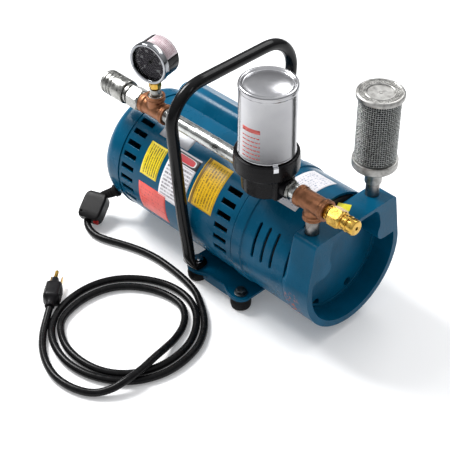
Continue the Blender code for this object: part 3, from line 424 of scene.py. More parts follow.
def joined(*parts):
    """Several bodies in one bmesh."""
    whole = bmesh.new()
    for part in parts:
        bmesh.ops.recalc_face_normals(part, faces=part.faces)
        if part.calc_volume(signed=True) < 0.0:
            bmesh.ops.reverse_faces(part, faces=part.faces)
        scratch = bpy.data.meshes.new("scratch")
        part.to_mesh(scratch)
        part.free()
        whole.from_mesh(scratch)
        bpy.data.meshes.remove(scratch)
    return whole


def solved(base, steps, voxel=0.0, relax=0):
    """Apply Booleans, and where asked a voxel remesh with smoothing, to a bmesh; returns a new bmesh."""
    scratch = []

    def as_object(part):
        part = joined(part)
        mesh = bpy.data.meshes.new("scratch")
        part.to_mesh(mesh)
        part.free()
        made = bpy.data.objects.new("scratch", mesh)
        scene.collection.objects.link(made)
        scratch.append(made)
        return made

    target = as_object(base)
    for operation, part in steps:
        cut = target.modifiers.new("step", "BOOLEAN")
        cut.operation, cut.solver, cut.object = operation, "EXACT", as_object(part)
    if voxel:
        even = target.modifiers.new("even", "REMESH")
        even.mode, even.voxel_size = "VOXEL", voxel
        rub = target.modifiers.new("rub", "SMOOTH")
        rub.iterations, rub.factor = relax, 0.5
    graph = bpy.context.evaluated_depsgraph_get()
    graph.update()
    result = bmesh.new()
    done = target.evaluated_get(graph)
    result.from_mesh(done.to_mesh())
    done.to_mesh_clear()
    for item in scratch:
        mesh = item.data
        bpy.data.objects.remove(item)
        bpy.data.meshes.remove(mesh)
    return result


def hex_nut(across, start, end, axis=X_AXIS, at=(0.0, 0.0, 0.0), turn=0.0, bore=0.0, chamfer=0.12):
    """A hexagonal prism whose corners are turned off at both ends."""
    corner = across / math.sqrt(3.0)
    reach = chamfer * across
    barrel = [(start, 0.0), (start, across * 0.47), (start + reach * 0.5, across * 0.5), (start + reach, corner + 0.02),
              (end - reach, corner + 0.02), (end - reach * 0.5, across * 0.5), (end, across * 0.47), (end, 0.0)]
    body = turned(barrel, sides=48, closed=False)
    steps = [("INTERSECT", along_x(hexagon(across, turn), start - 1.0, end + 1.0))]
    if bore:
        steps.append(("DIFFERENCE", rod(start - 2.0, end + 2.0, bore)))
    nut = solved(body, steps)
    nut.transform(Matrix.Translation(at) @ frame_of(axis))
    return nut


def threaded(start, end, root, crest, pitch, inner, axis=X_AXIS, at=(0.0, 0.0, 0.0), sides=64):
    """A tube whose outside has thread ridges, drawn as rings."""
    outline = [(start, inner), (start, root)]
    ridge = start + pitch * 0.5
    while ridge < end - pitch * 0.5:
        outline += [(ridge - pitch * 0.3, root), (ridge, crest), (ridge + pitch * 0.3, root)]
        ridge += pitch
    outline += [(end, root), (end, inner)]
    return turned(outline, axis, at, sides)


def lofted(rings, capped=True):
    bm = bmesh.new()
    loops = [[bm.verts.new(point) for point in ring] for ring in rings]
    for first, second in zip(loops, loops[1:]):
        for i in range(len(first)):
            j = (i + 1) % len(first)
            bm.faces.new((first[i], first[j], second[j], second[i]))
    if capped:
        bm.faces.new(loops[0])
        bm.faces.new(loops[-1])
    return bm


def smooth(route, step):
    """Even points along a Catmull-Rom curve through the route's own points."""
    points = [Vector(p) for p in route]
    ends = [2 * points[0] - points[1]] + points + [2 * points[-1] - points[-2]]
    dense = []
    for a, b, c, d in zip(ends, ends[1:], ends[2:], ends[3:]):
        for i in range(24):
            t = i / 24
            dense.append(0.5 * (2 * b + (c - a) * t + (2 * a - 5 * b + 4 * c - d) * t ** 2
                                + (3 * b - 3 * c + d - a) * t ** 3))
    dense.append(points[-1])
    lengths = [0.0]
    for p, q in zip(dense, dense[1:]):
        lengths.append(lengths[-1] + (q - p).length)
    count = max(2, round(lengths[-1] / step))
    even, place = [], 0
    for i in range(count + 1):
        wanted = lengths[-1] * i / count
        while place < len(lengths) - 2 and lengths[place + 1] < wanted:
            place += 1
        part = (wanted - lengths[place]) / (lengths[place + 1] - lengths[place])
        even.append(dense[place].lerp(dense[place + 1], part))
    return even, lengths[-1]


def bar_rings(points, shape, sides=32, start_side=(1.0, 0.0, 0.0)):
    """Rings square to a path; shape(i) gives the two half-widths of ring i."""
    rings, side = [], Vector(start_side)
    for index, point in enumerate(points):
        ahead, behind = points[min(index + 1, len(points) - 1)], points[max(index - 1, 0)]
        along = (ahead - behind).normalized()
        side = (side - along * side.dot(along)).normalized()
        other = along.cross(side)
        wide, thick = shape(index)
        turns = [2 * math.pi * i / sides for i in range(sides)]
        rings.append([point + side * wide * math.cos(t) + other * thick * math.sin(t) for t in turns])
    return rings


# Cord --------------------------------------------------------------------------------------------

CORD_ROUTE = [
    (-189.2, -98.8, 10.8), (-182.0, -104.2, 7.2), (-171.5, -107.2, 5.0), (-158.5, -107.2, FLOOR_Z),
    (-146.0, -103.8, FLOOR_Z), (-128.0, -96.5, FLOOR_Z), (-110.0, -90.0, FLOOR_Z),
    (-93.0, -85.6, FLOOR_Z), (-75.0, -83.2, FLOOR_Z), (-56.0, -83.0, FLOOR_Z),
    (-38.0, -84.0, FLOOR_Z), (-18.0, -86.5, FLOOR_Z),
    (2.0, -91.5, FLOOR_Z), (21.0, -101.0, FLOOR_Z), (41.0, -114.0, FLOOR_Z),
    (58.5, -131.0, FLOOR_Z), (71.5, -153.0, FLOOR_Z), (77.5, -178.0, FLOOR_Z),
    (77.5, -203.0, FLOOR_Z), (71.0, -225.0, FLOOR_Z), (59.0, -244.0, FLOOR_Z),
    (40.0, -260.0, FLOOR_Z), (16.0, -271.0, FLOOR_Z), (-11.0, -274.5, FLOOR_Z),
    (-39.0, -269.0, FLOOR_Z), (-63.0, -256.0, FLOOR_Z), (-81.0, -235.0, FLOOR_Z),
    (-90.5, -210.0, FLOOR_Z), (-93.0, -182.0, FLOOR_Z), (-87.0, -156.0, FLOOR_Z),
    (-73.0, -134.0, FLOOR_Z), (-51.0, -116.0, FLOOR_Z), (-25.0, -105.5, FLOOR_Z),
    (2.0, -105.0, FLOOR_Z), (26.0, -114.0, FLOOR_Z), (46.0, -131.5, FLOOR_Z),
    (60.0, -154.0, FLOOR_Z), (66.0, -178.0, FLOOR_Z), (65.0, -204.0, FLOOR_Z),
    (57.0, -226.0, FLOOR_Z), (43.0, -244.0, FLOOR_Z), (23.0, -256.5, FLOOR_Z),
    (-2.0, -262.0, FLOOR_Z), (-29.0, -260.0, FLOOR_Z), (-52.0, -250.5, FLOOR_Z),
    (-69.0, -236.0, FLOOR_Z), (-77.5, -215.0, FLOOR_Z), (-80.0, -190.0, FLOOR_Z),
    (-75.0, -164.0, FLOOR_Z), (-61.5, -143.0, FLOOR_Z), (-39.5, -127.0, FLOOR_Z),
    (-16.0, -119.0, FLOOR_Z), (6.0, -119.0, FLOOR_Z), (23.0, -128.0, FLOOR_Z),
    (36.0, -143.0, FLOOR_Z), (45.0, -163.0, 5.6), (52.0, -184.0, 9.8), (58.0, -206.0, 14.0),
    (62.0, -228.0, 14.4), (62.5, -249.0, 13.6), (57.5, -268.5, 8.8), (45.0, -284.5, 5.2),
    (24.0, -295.0, FLOOR_Z), (-1.0, -298.0, FLOOR_Z), (-25.0, -292.5, FLOOR_Z),
    (-47.5, -281.0, FLOOR_Z), (-66.5, -265.5, 5.2), (-80.5, -249.5, 7.4), (-90.6, -236.9, 10.0),
]
LEAD_ROUTE = [(-181.9, -63.3, 36.9), (-186.4, -66.0, 34.0), (-191.4, -68.8, 30.8), (-196.4, -72.4, 27.2)]
IN_SWITCH = [(-198.6, -81.0, 21.6), (-195.8, -91.0, 15.6)]
RELIEF_FROM, RELIEF_TO = Vector((-175.7, -57.7, 42.0)), Vector((-180.9, -62.5, 37.6))
SWITCH_CENTRE, SWITCH_AXIS = (-191.0, -85.2, 19.6), (0.36, -0.81, -0.46)
SWITCH_SIZE = (30.0, 37.0, 21.0)
PLUG_FROM, PLUG_AXIS, PLUG_Z = (-91.0, -236.5), (-0.66, 0.751), 11.8


def switch_frame():
    """Local x is the block's width, local y runs along the cord, local z is its thickness."""
    forward = Vector(SWITCH_AXIS).normalized()
    across = Vector((0.0, 0.0, 1.0)).cross(forward).normalized()
    turn = Matrix((across, forward, across.cross(forward))).transposed()
    return Matrix.Translation(SWITCH_CENTRE) @ turn.to_4x4()


def build_strain_relief(m):
    """A collar at the bell and a ribbed boot that tapers along the first 24 mm of the lead."""
    start = RELIEF_FROM + (RELIEF_TO - RELIEF_FROM) * 0.35
    points, length = smooth([start] + [Vector(p) for p in LEAD_ROUTE + IN_SWITCH + CORD_ROUTE[:3]], 0.5)
    count = 42
    path = [RELIEF_FROM] + points[:count]

    def girth(index):
        if index < 4:
            return (8.2, 8.2)
        radius = 7.0 - 1.9 * index / count
        return (radius, radius) if index % 7 > 2 else (radius - 0.6, radius - 0.6)

    return finish("strain_relief_boot", lofted(bar_rings(path, girth, 32)), m["rubber"],
                  nodes=["strain_relief"])


def build_switch(m):
    """An in-line rocker switch: one side slopes like a roof, and a hanging eye is moulded at its foot."""
    wide, long, thick = (size / 2 for size in SWITCH_SIZE)
    place = switch_frame()
    profile = eased([(-wide, -thick), (wide, -thick), (wide, thick - 3.0), (wide - 2.5, thick), (-2.0, thick),
                     (-wide + 1.0, -1.0), (-wide, -3.5)], 3.0, steps=5)
    rings = []
    for y, scale in ((-long, 0.7), (-long + 1.2, 0.82), (-long + 4.0, 0.94), (-long + 9.0, 1.0), (long - 9.0, 1.0),
                     (long - 4.0, 0.95), (long - 1.2, 0.84), (long, 0.72)):
        rings.append([Vector((x * scale, y, z * (0.4 + 0.6 * scale))) for x, z in profile])
    shell = lofted(rings)
    shell.transform(place)
    cuts = []
    for route in (LEAD_ROUTE[:-3:-1], CORD_ROUTE[:2]):
        inner, outer = Vector(route[0]), Vector(route[1])
        cuts.append(rod(-2.0, 20.0, CORD_R + 0.7, outer - inner, inner, 32))
    socket = box((6.6, long - 6.0, -4.0), (13.0, long + 2.0, 4.0))
    eye = rod(-14.0, 14.0, 1.7, Z_AXIS, (-10.6, 11.5, 0.0), 24)
    for part in [socket, eye]:
        part.transform(place)
        cuts.append(part)
    block = finish("switch_shell", solved(shell, [("DIFFERENCE", cut) for cut in cuts]), m["switch"],
                   nodes=["switch_body"], bevel=0.3)
    slope = math.atan2(thick + 1.0, wide - 3.0)
    ridges = []
    for i in range(6):
        rib = box((-6.6, -0.55, -0.5), (6.6, 0.55, 0.45))
        rib.transform(place @ Matrix.Translation((-7.9, -8.0 + 3.2 * i, 4.55)) @ Matrix.Rotation(-slope, 4, "Y"))
        ridges.append(rib)
    ribs = finish("switch_ribs", joined(*ridges), m["switch"], bevel=0.25)
    rocker = [(6.9, -3.6), (12.7, -3.6), (12.7, 3.6), (6.9, 3.6)]
    key = lofted([[Vector((x, y, z)) for x, z in eased([(9.8 + (a - 9.8) * k, b * k) for a, b in rocker], 1.2)]
                  for y, k in ((long - 3.4, 1.0), (long + 1.2, 1.0), (long + 1.9, 0.93), (long + 2.2, 0.78))])
    key.transform(place)
    button = finish("switch_key", key, m["red"], body="switch_button", nodes=["switch_button"])
    return [block, ribs, button]


def build_plug(m):
    """A moulded grip, a raised snout round the earth pin, two flat blades and the round pin."""
    axis = Vector((*PLUG_AXIS, 0.0)).normalized()
    place = Matrix.Translation((*PLUG_FROM, PLUG_Z)) @ frame_of(axis)

    def ring(x, half, low, high, power, sides=44):
        turns = [2 * math.pi * i / sides for i in range(sides)]
        middle, tall = (low + high) / 2, (high - low) / 2
        return [Vector((x, half * math.copysign(abs(math.cos(t)) ** power, math.cos(t)),
                        middle + tall * math.copysign(abs(math.sin(t)) ** power, math.sin(t)))) for t in turns]

    stations = [(0.0, 5.5, 5.3, 1.0), (1.0, 5.9, 5.8, 1.0), (2.2, 5.4, 5.3, 1.0), (3.2, 5.9, 5.8, 1.0), (4.4, 5.5, 5.4, 1.0),
                (5.4, 6.1, 6.0, 1.0), (8.0, 6.3, 6.4, 0.9), (10.0, 8.6, 8.4, 0.7), (11.2, 9.6, 9.6, 0.55), (13.0, 9.9, 10.4, 0.5),
                (16.0, 9.5, 10.4, 0.5), (24.0, 9.2, 10.5, 0.5), (30.0, 9.7, 10.8, 0.5), (34.0, 9.8, 10.8, 0.5), (35.4, 8.8, 10.0, 0.55)]
    shell = lofted([ring(x, w, -h, h, power) for x, w, h, power in stations])
    snout = lofted([ring(x, w, low, high, 0.6) for x, w, low, high in
                    ((30.0, 4.6, -5.0, 10.5), (41.8, 4.4, -5.0, 10.3), (43.2, 3.4, -4.0, 9.2))])
    ribs = []
    for i in range(5):
        for side in (-1.0, 1.0):
            at = 15.5 + i * 3.2
            ribs.append(box((at, min(side * 9.0, side * 10.1), -6.0), (at + 1.3, max(side * 9.0, side * 10.1), 6.0)))
    whole = joined(shell, snout)
    whole.transform(place)
    grips = joined(*ribs)
    grips.transform(place)
    body = finish("plug_body", whole, m["plastic"], nodes=["plug"], sharp=55.0)
    ridges = finish("plug_grips", grips, m["plastic"], bevel=0.3)
    blades = []
    for side in (-1.0, 1.0):
        outline = eased([(34.0, -4.2), (51.5, -4.2), (51.5, 2.2), (34.0, 2.2)], 1.2)
        blades.append(prism(outline, 1.5, Matrix.Translation((0.0, side * 6.35 + 0.75, 0.0))
                            @ Matrix.Rotation(math.radians(90.0), 4, "X")))
    pin = turned([(41.0, 0.0), (41.0, 2.4), (53.6, 2.4), (55.2, 1.6), (56.0, 0.0)], at=(0.0, 0.0, 7.2), sides=32, closed=False)
    metal = joined(*blades, pin)
    metal.transform(place)
    prongs = finish("plug_prongs", metal, m["brass"], bevel=0.2)
    return [body, ridges, prongs]


def build_cord(m):
    """One cord from the bell to the plug; the switch block is clamped on it."""
    relief = build_strain_relief(m)
    switch = build_switch(m)
    plug = build_plug(m)
    start = RELIEF_FROM + (RELIEF_TO - RELIEF_FROM) * 0.35
    route = [start] + [Vector(p) for p in LEAD_ROUTE + IN_SWITCH + CORD_ROUTE]
    points, length = smooth(route, 4.0)
    curve = bpy.data.curves.new("mains_cord", "CURVE")
    curve.dimensions = "3D"
    curve.bevel_depth = CORD_R * MM
    curve.bevel_resolution = 6
    curve.resolution_u = curve.render_resolution_u = 1
    curve.use_fill_caps = True
    spline = curve.splines.new("POLY")
    spline.points.add(len(points) - 1)
    for target, point in zip(spline.points, points):
        target.co = (*(TO_FRAME @ point), 1.0)
    curve.materials.append(m["cord"])
    cord = bpy.data.objects.new("mains_cord", curve)
    scene.collection.objects.link(cord)
    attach(cord, "frame")
    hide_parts("cord_lead", "power_cord")


# Painted shells ----------------------------------------------------------------------------------

def spaced(lines, step):
    """The lines, with even ones added so that none are further apart than step."""
    lines = sorted(set(round(line, 5) for line in lines))
    result = [lines[0]]
    for first, second in zip(lines, lines[1:]):
        count = max(1, math.ceil((second - first) / step - 1e-6))
        result += [first + (second - first) * (i + 1) / count for i in range(count)]
    return result


def drum(name, x_lines, angle_lines, radius, cut, wall, material, nodes, rounded_ends=()):
    """A tube about the shaft on a grid of its own; cut(x, angle) says which cells are open.

    Angles are in degrees from the top towards -Y. rounded_ends lists (x, half width, first angle, last angle)
    of slits that run round the drum, whose ends are drawn in to half circles.
    """
    bm = bmesh.new()
    grid = []
    for x in x_lines:
        row = []
        for angle in angle_lines[:-1]:
            here = angle
            for middle, half, first, last in rounded_ends:
                if abs(x - middle) < half + 0.01:
                    pull = math.degrees((half - math.sqrt(max(half ** 2 - (x - middle) ** 2, 0.0))) / SHELL_R)
                    for sign in (-1.0, 1.0):
                        if abs(angle - sign * first) < 0.01:
                            here = angle + sign * pull
                        if abs(angle - sign * last) < 0.01:
                            here = angle - sign * pull
            t = math.radians(here)
            row.append(bm.verts.new((x, -radius(x) * math.sin(t), AXIS_Z + radius(x) * math.cos(t))))
        grid.append(row)
    count = len(angle_lines) - 1
    for i in range(len(x_lines) - 1):
        for j in range(count):
            if cut((x_lines[i] + x_lines[i + 1]) / 2, (angle_lines[j] + angle_lines[j + 1]) / 2):
                continue
            k = (j + 1) % count
            bm.faces.new((grid[i][j], grid[i + 1][j], grid[i + 1][k], grid[i][k]))
    loose = [v for v in bm.verts if not v.link_faces]
    bmesh.ops.delete(bm, geom=loose, context="VERTS")
    bmesh.ops.recalc_face_normals(bm, faces=bm.faces)
    sample = bm.faces[0]
    outward = sample.calc_center_median() - Vector((sample.calc_center_median().x, 0.0, AXIS_Z))
    if sample.normal.dot(outward) < 0.0:
        bmesh.ops.reverse_faces(bm, faces=bm.faces)
    bmesh.ops.transform(bm, matrix=TO_FRAME, verts=bm.verts)
    mesh = bpy.data.meshes.new(name)
    bm.to_mesh(mesh)
    bm.free()
    mesh.shade_smooth()
    mesh.materials.append(material)
    piece = bpy.data.objects.new(name, mesh)
    scene.collection.objects.link(piece)
    solid = piece.modifiers.new("wall", "SOLIDIFY")
    solid.thickness, solid.offset = wall * MM, -1.0
    soft = piece.modifiers.new("soft edges", "BEVEL")
    soft.width, soft.segments = 0.45 * MM, 2
    soft.limit_method, soft.angle_limit = "ANGLE", math.radians(50.0)
    even = piece.modifiers.new("even shading", "WEIGHTED_NORMAL")
    even.keep_sharp = True
    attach(piece, "frame")
    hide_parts(*nodes)
    return piece


VENT_PITCH, VENT_HALF = 11.7, 2.5
REAR_VENTS = [29.5 + VENT_PITCH * i for i in range(8)]
FRONT_VENTS = [29.5 + VENT_PITCH * i for i in range(1, 7)]
SLIT_X, SLIT_HALF, SLIT_ANGLES = (77.6, 91.4, 105.2), 1.9, (51.0, 85.0)


def build_motor_shell(m):
    lines = [-180.0, 180.0, 0.0]
    for angle in REAR_VENTS:
        lines += [sign * (angle + side) for sign in (-1.0, 1.0) for side in (-VENT_HALF, VENT_HALF)]
    angles = spaced(lines, 2.6)
    xs = spaced([-150.0, -146.0, -125.0, 15.2, 36.2, 44.0], 12.0)

    def cut(x, angle):
        vents = REAR_VENTS if -146.0 < x < -125.0 else FRONT_VENTS if 15.2 < x < 36.2 else ()
        return any(abs(abs(angle) - middle) < VENT_HALF for middle in vents)

    drum("motor_shell_tube", xs, angles, lambda x: SHELL_R, cut, 2.6, m["paint"], ["motor_shell"])


def build_pump_housing(m):
    lines = [-180.0, 180.0, 0.0] + [sign * a for sign in (-1.0, 1.0) for a in SLIT_ANGLES]
    xs = [44.3, 45.6, 46.2, 47.0, 59.0, 59.8, 60.4, 125.7]
    for middle in SLIT_X:
        xs += [middle + SLIT_HALF * f for f in (-1.0, -0.7, 0.0, 0.7, 1.0)]

    def radius(x):
        band = min(max((x - 45.6) / 0.6, 0.0), 1.0) * min(max((60.4 - x) / 0.6, 0.0), 1.0)
        return SHELL_R + 1.5 * band

    def cut(x, angle):
        return SLIT_ANGLES[0] < abs(angle) < SLIT_ANGLES[1] and any(abs(x - s) < SLIT_HALF for s in SLIT_X)

    ends = [(middle, SLIT_HALF, *SLIT_ANGLES) for middle in SLIT_X]
    drum("pump_housing_tube", spaced(xs, 8.0), spaced(lines, 2.6), radius, cut, 3.2, m["paint"],
         ["pump_housing"], ends)
    wall = [(44.4, 17.3), (44.4, 72.4), (49.4, 72.4), (49.4, 24.0), (57.8, 24.0), (57.8, 17.3)]
    finish("bearing_wall", turned(wall, at=SHAFT, ease=0.6), m["cast_paint"])


def build_rear_bell(m):
    corner = 18.0
    outline = [(-184.0, 26.0)] + arc((-166.0, 57.0), corner, 180.0, 90.0, 24)
    outline += [(-152.6, 75.0), (-152.2, 76.2), (-150.5, 76.2), (-150.4, 75.0), (-150.4, 72.2), (-152.0, 72.0)]
    outline += arc((-166.0, 57.0), corner - 2.8, 90.0, 180.0, 16)
    outline += [(-181.2, 22.4), (-167.2, 22.4), (-167.2, 17.6), (-180.8, 17.6), (-180.8, 0.0), (-186.2, 0.0),
                (-186.2, 21.0), (-185.4, 23.0), (-184.2, 24.6)]
    outline = outline[:-4] + [(-181.0, 0.0)] + [(-186.4, 0.0), (-186.4, 20.5), (-185.8, 22.2), (-184.3, 24.4)]
    outline = [p for i, p in enumerate(outline) if i == 0 or p != outline[i - 1]]
    bell = turned(outline, at=SHAFT, sides=144)
    finish("rear_bell_cap", bell, m["paint"], nodes=["rear_end_bell"], weighted=True)
    for index in range(4):
        turn = math.radians(38.0 + 90.0 * index)
        at = (0.0, 56.0 * math.sin(turn), AXIS_Z + 56.0 * math.cos(turn))
        pad = turned([(-185.2, 0.0), (-185.2, 6.6), (-183.0, 8.2), (-182.0, 8.2), (-182.0, 0.0)], at=at, sides=40,
                     closed=False, ease=0.5)
        finish(f"bell_bolt_boss_{index + 1}", pad, m["paint"])
        nut = joined(hex_nut(7.0, -188.6, -185.3, at=at, turn=10.0 * index),
                     turned([(-190.2, 0.0), (-190.0, 1.3), (-189.6, 1.9), (-188.4, 1.9), (-188.4, 0.0)], at=at,
                            sides=24, closed=False))
        finish(f"bell_bolt_{index + 1}", nut, m["zinc"])


# Cowl --------------------------------------------------------------------------------------------

def cowl_outline(inset=0.0):
    radius, shoulder, top = 76.0 - inset, 66.5 - inset, 66.0 - inset
    corner = 6.0
    lean = math.degrees(math.atan2(radius - shoulder, top))
    right = arc((shoulder - corner, top - corner), corner, lean, 90.0, 8)
    left = [(-y, z) for y, z in reversed(right)]
    return left + arc((0.0, 0.0), radius, 176.0, 364.0, 110) + right


def pocket_outline():
    inner = 68.0
    boss = [(50.5, 14.0), (44.5, 15.2), (40.5, 18.5), (38.6, 23.5), (38.9, 29.0), (41.2, 35.0), (41.4, 41.0),
            (38.8, 52.0), (35.6, 58.5), (31.5, 61.4)]
    start = math.degrees(math.atan2(14.0, -math.sqrt(inner ** 2 - 14.0 ** 2)))
    low = arc((0.0, 0.0), inner, start, 540.0 - start, 110)
    left = [(-y, z) for y, z in reversed(boss)]
    return low + boss + left


def build_cowl(m):
    full = cowl_outline()
    round_rear = [(y * min(1.0, SHELL_R / math.hypot(y, z)), z * min(1.0, SHELL_R / math.hypot(y, z))) for y, z in full]
    sections = []
    for x, blend in ((126.0, 0.0), (127.5, 0.3), (129.5, 0.78), (131.5, 0.97), (133.0, 1.0), (164.0, 1.0)):
        sections.append([Vector((x, a[0] + (b[0] - a[0]) * blend, AXIS_Z + a[1] + (b[1] - a[1]) * blend))
                         for a, b in zip(round_rear, full)])
    body = lofted(sections)
    screws = [(-31.0, AXIS_Z - 51.0), (23.0, AXIS_Z - 51.0)]
    cuts = [along_x(pocket_outline(), 138.0, 170.0, (0.0, AXIS_Z))]
    cuts += [rod(128.0, 170.0, 5.6, at=(0.0, y, z)) for y, z in screws]
    cuts += [rod(130.0, 160.0, 8.2, Z_AXIS, (PORT_X, side * PORT_Y, 0.0)) for side in (-1.0, 1.0)]
    shell = solved(body, [("DIFFERENCE", cut) for cut in cuts])
    finish("front_cowl_casting", shell, m["cowl_paint"], nodes=["front_cowl"], bevel=1.6)
    plate = turned([(118.4, 10.0), (118.4, 69.8), (126.4, 69.8), (126.4, 10.0)], at=SHAFT, sides=72)
    finish("cylinder_cover", plate, m["iron"])
    step = turned([(137.6, 60.0), (137.6, 63.6), (139.4, 63.0), (139.6, 60.6)], at=SHAFT, sides=144, ease=0.4)
    finish("cowl_floor_ring", step, m["cast_paint"])
    for index, (y, z) in enumerate(screws):
        head = solved(turned([(128.6, 0.0), (128.6, 4.6), (133.0, 4.6), (133.4, 4.2), (133.4, 0.0)],
                             at=(0.0, y, z), sides=40, closed=False),
                      [("DIFFERENCE", along_x(hexagon(4.6, 12.0), 130.4, 134.0, (y, z)))])
        finish(f"cowl_screw_{index + 1}", head, m["iron"])


def build_capacitor_cover(m):
    start, end, half, top = -150.0, -26.0, 27.0, 95.0
    lean = Matrix.Translation((0, 0, AXIS_Z)) @ Matrix.Rotation(math.radians(-33.0), 4, "X")

    def section(x, inset):
        corner = 14.0 - 0.6 * inset
        side, crown = half - inset, top - inset
        rim = [(side, 69.0)] + arc((side - corner, crown - corner), corner, 0.0, 90.0, 10)
        return [Vector((x, y, z)) for y, z in rim] + [Vector((x, -y, z)) for y, z in reversed(rim)]

    rounding, steps = 11.0, 10
    ends = [(rounding * (1.0 - math.cos(t)), rounding * (1.0 - math.sin(t)))
            for t in [math.radians(90.0 * i / steps) for i in range(steps + 1)]]
    rings = [section(start + along, inset) for along, inset in ends]
    rings += [section(end - along, inset) for along, inset in reversed(ends)]
    dome = lofted(rings)
    dome.transform(lean)
    cover = finish("capacitor_cover_shell", dome, m["paint"], nodes=["capacitor_cover"],
                   sharp=45.0, weighted=True)
    del cover
    for index, x in enumerate((start + 3.0, end - 3.0)):
        at = lean @ Vector((x, 0.0, 81.0))
        head = turned([(-1.0, 0.0), (-1.0, 3.6), (0.6, 3.6), (1.8, 2.6), (2.3, 0.0)],
                      lean.to_3x3() @ Vector((-1.0 if index == 0 else 1.0, 0.0, 0.25)), at, 32, closed=False)
        finish(f"capacitor_screw_{index + 1}", head, m["zinc"])


# Base, feet and handle ---------------------------------------------------------------------------

def ear_outline(side, inset=0.0):
    lobe = 13.0 - inset
    ear = arc((FOOT_X[0], FOOT_Y), lobe, 180.0, 90.0, 12)
    ear += arc((FOOT_X[1], FOOT_Y), lobe, 90.0, 0.0, 12)
    waist = 71.0 - inset
    dense = []
    for (x0, y0), (x1, y1) in zip(ear, ear[1:]):
        count = max(1, int((x1 - x0) / 2.5))
        dense += [(x0 + (x1 - x0) * k / count, y0 + (y1 - y0) * k / count) for k in range(count)]
    dense.append(ear[-1])
    middle = sum(FOOT_X) / 2
    shaped = []
    for x, y in dense:
        dip = max(0.0, 1.0 - abs(x - middle) / 34.0)
        dip = dip * dip * (3.0 - 2.0 * dip)
        shaped.append((x, side * (y - (y - waist) * min(1.0, 1.6 * dip) if y > waist else y)))
    return shaped


def build_base(m):
    """A pressed plate: cradle under the shell, two wings with a rolled edge, and a skirt between the feet."""
    bend = [(75.5 * math.sin(a), -75.5 * math.cos(a)) for a in [math.radians(24.5 * i / 16) for i in range(-16, 17)]]
    bend += [(78.3 * math.sin(a), -78.3 * math.cos(a)) for a in [math.radians(24.5 * i / 16) for i in range(16, -17, -1)]]
    base = along_x(bend, FOOT_X[0] - 13.0, 44.0, (0.0, AXIS_Z))
    steps = []
    for side in (-1.0, 1.0):
        wing = [(FOOT_X[0] - 13.0, side * 30.5)] + ear_outline(side)
        wing += [(FOOT_X[1] + 13.0, side * 37.0), (45.0, side * 37.0), (44.0, side * 30.5)]
        steps.append(("UNION", along_z(wing, *PLATE)))
        corners = eased([(-6.0, PLATE[1] - 0.5), (-6.0, 7.5), (38.0, 7.5), (38.0, PLATE[1] - 0.5)], 8.0, steps=8)
        inner = 68.0 if side > 0 else -71.0
        skirt = prism([(x, z) for x, z in corners], 3.0, Matrix(((1, 0, 0, 0), (0, 0, 1, inner), (0, 1, 0, 0), (0, 0, 0, 1))))
        steps.append(("UNION", skirt))
    for x in FOOT_X:
        for side in (-1.0, 1.0):
            steps.append(("DIFFERENCE", rod(10.0, 25.0, 3.5, Z_AXIS, (x, side * FOOT_Y, 0.0), 24)))
    finish("base_pressing", solved(base, steps), m["paint"], nodes=["base_plate"], bevel=0.7)
    for side, name in ((-1.0, "near"), (1.0, "far")):
        path = [Vector((x, y, PLATE[1] - 0.5)) for x, y in ear_outline(side, 1.5)]
        bead = lofted(bar_rings(path, lambda index: (1.5, 1.5), 16, (0.0, 0.0, 1.0)))
        finish(f"base_rolled_edge_{name}", bead, m["paint"], sharp=60.0)

    for place, x, y in (("rear_near", FOOT_X[0], -FOOT_Y), ("rear_far", FOOT_X[0], FOOT_Y),
                        ("front_near", FOOT_X[1], -FOOT_Y), ("front_far", FOOT_X[1], FOOT_Y)):
        pad = [(0.0, 0.0), (0.0, 10.2), (1.2, 11.4), (4.0, 12.2), (8.0, 12.5), (12.0, 12.3), (13.2, 11.9),
               (13.6, 12.3), (15.4, 12.3), (15.7, 11.9), (15.7, 3.4), (5.0, 3.4), (5.0, 0.0)]
        finish(f"rubber_{place}", turned(pad, Z_AXIS, (x, y, 0.0), 64, closed=False, ease=0.4), m["rubber"],
               nodes=[f"foot_{place}"])
        seat = PLATE[1] + 0.3 + (4.3 if place.startswith("rear") else 0.0)
        washer = 5.9 if place.startswith("rear") else 8.0
        ring = turned([(6.0, 0.0), (6.0, 3.0), (seat, 3.0), (seat, washer), (seat + 1.2, washer), (seat + 1.4, washer - 0.4),
                       (seat + 1.4, 0.0)], Z_AXIS, (x, y, 0.0), 48, closed=False)
        head = hex_nut(11.0, seat + 1.2, seat + 6.4, Z_AXIS, (x, y, 0.0), turn=0.0)
        crown = turned([(seat + 5.8, 0.0), (seat + 5.8, 3.9), (seat + 6.6, 3.4), (seat + 6.9, 0.0)], Z_AXIS, (x, y, 0.0), 32,
                       closed=False)
        finish(f"hex_bolt_{place}", joined(ring, head, crown), m["chrome" if place.startswith("rear") else "zinc_dark"],
               nodes=[f"bolt_{place}"])


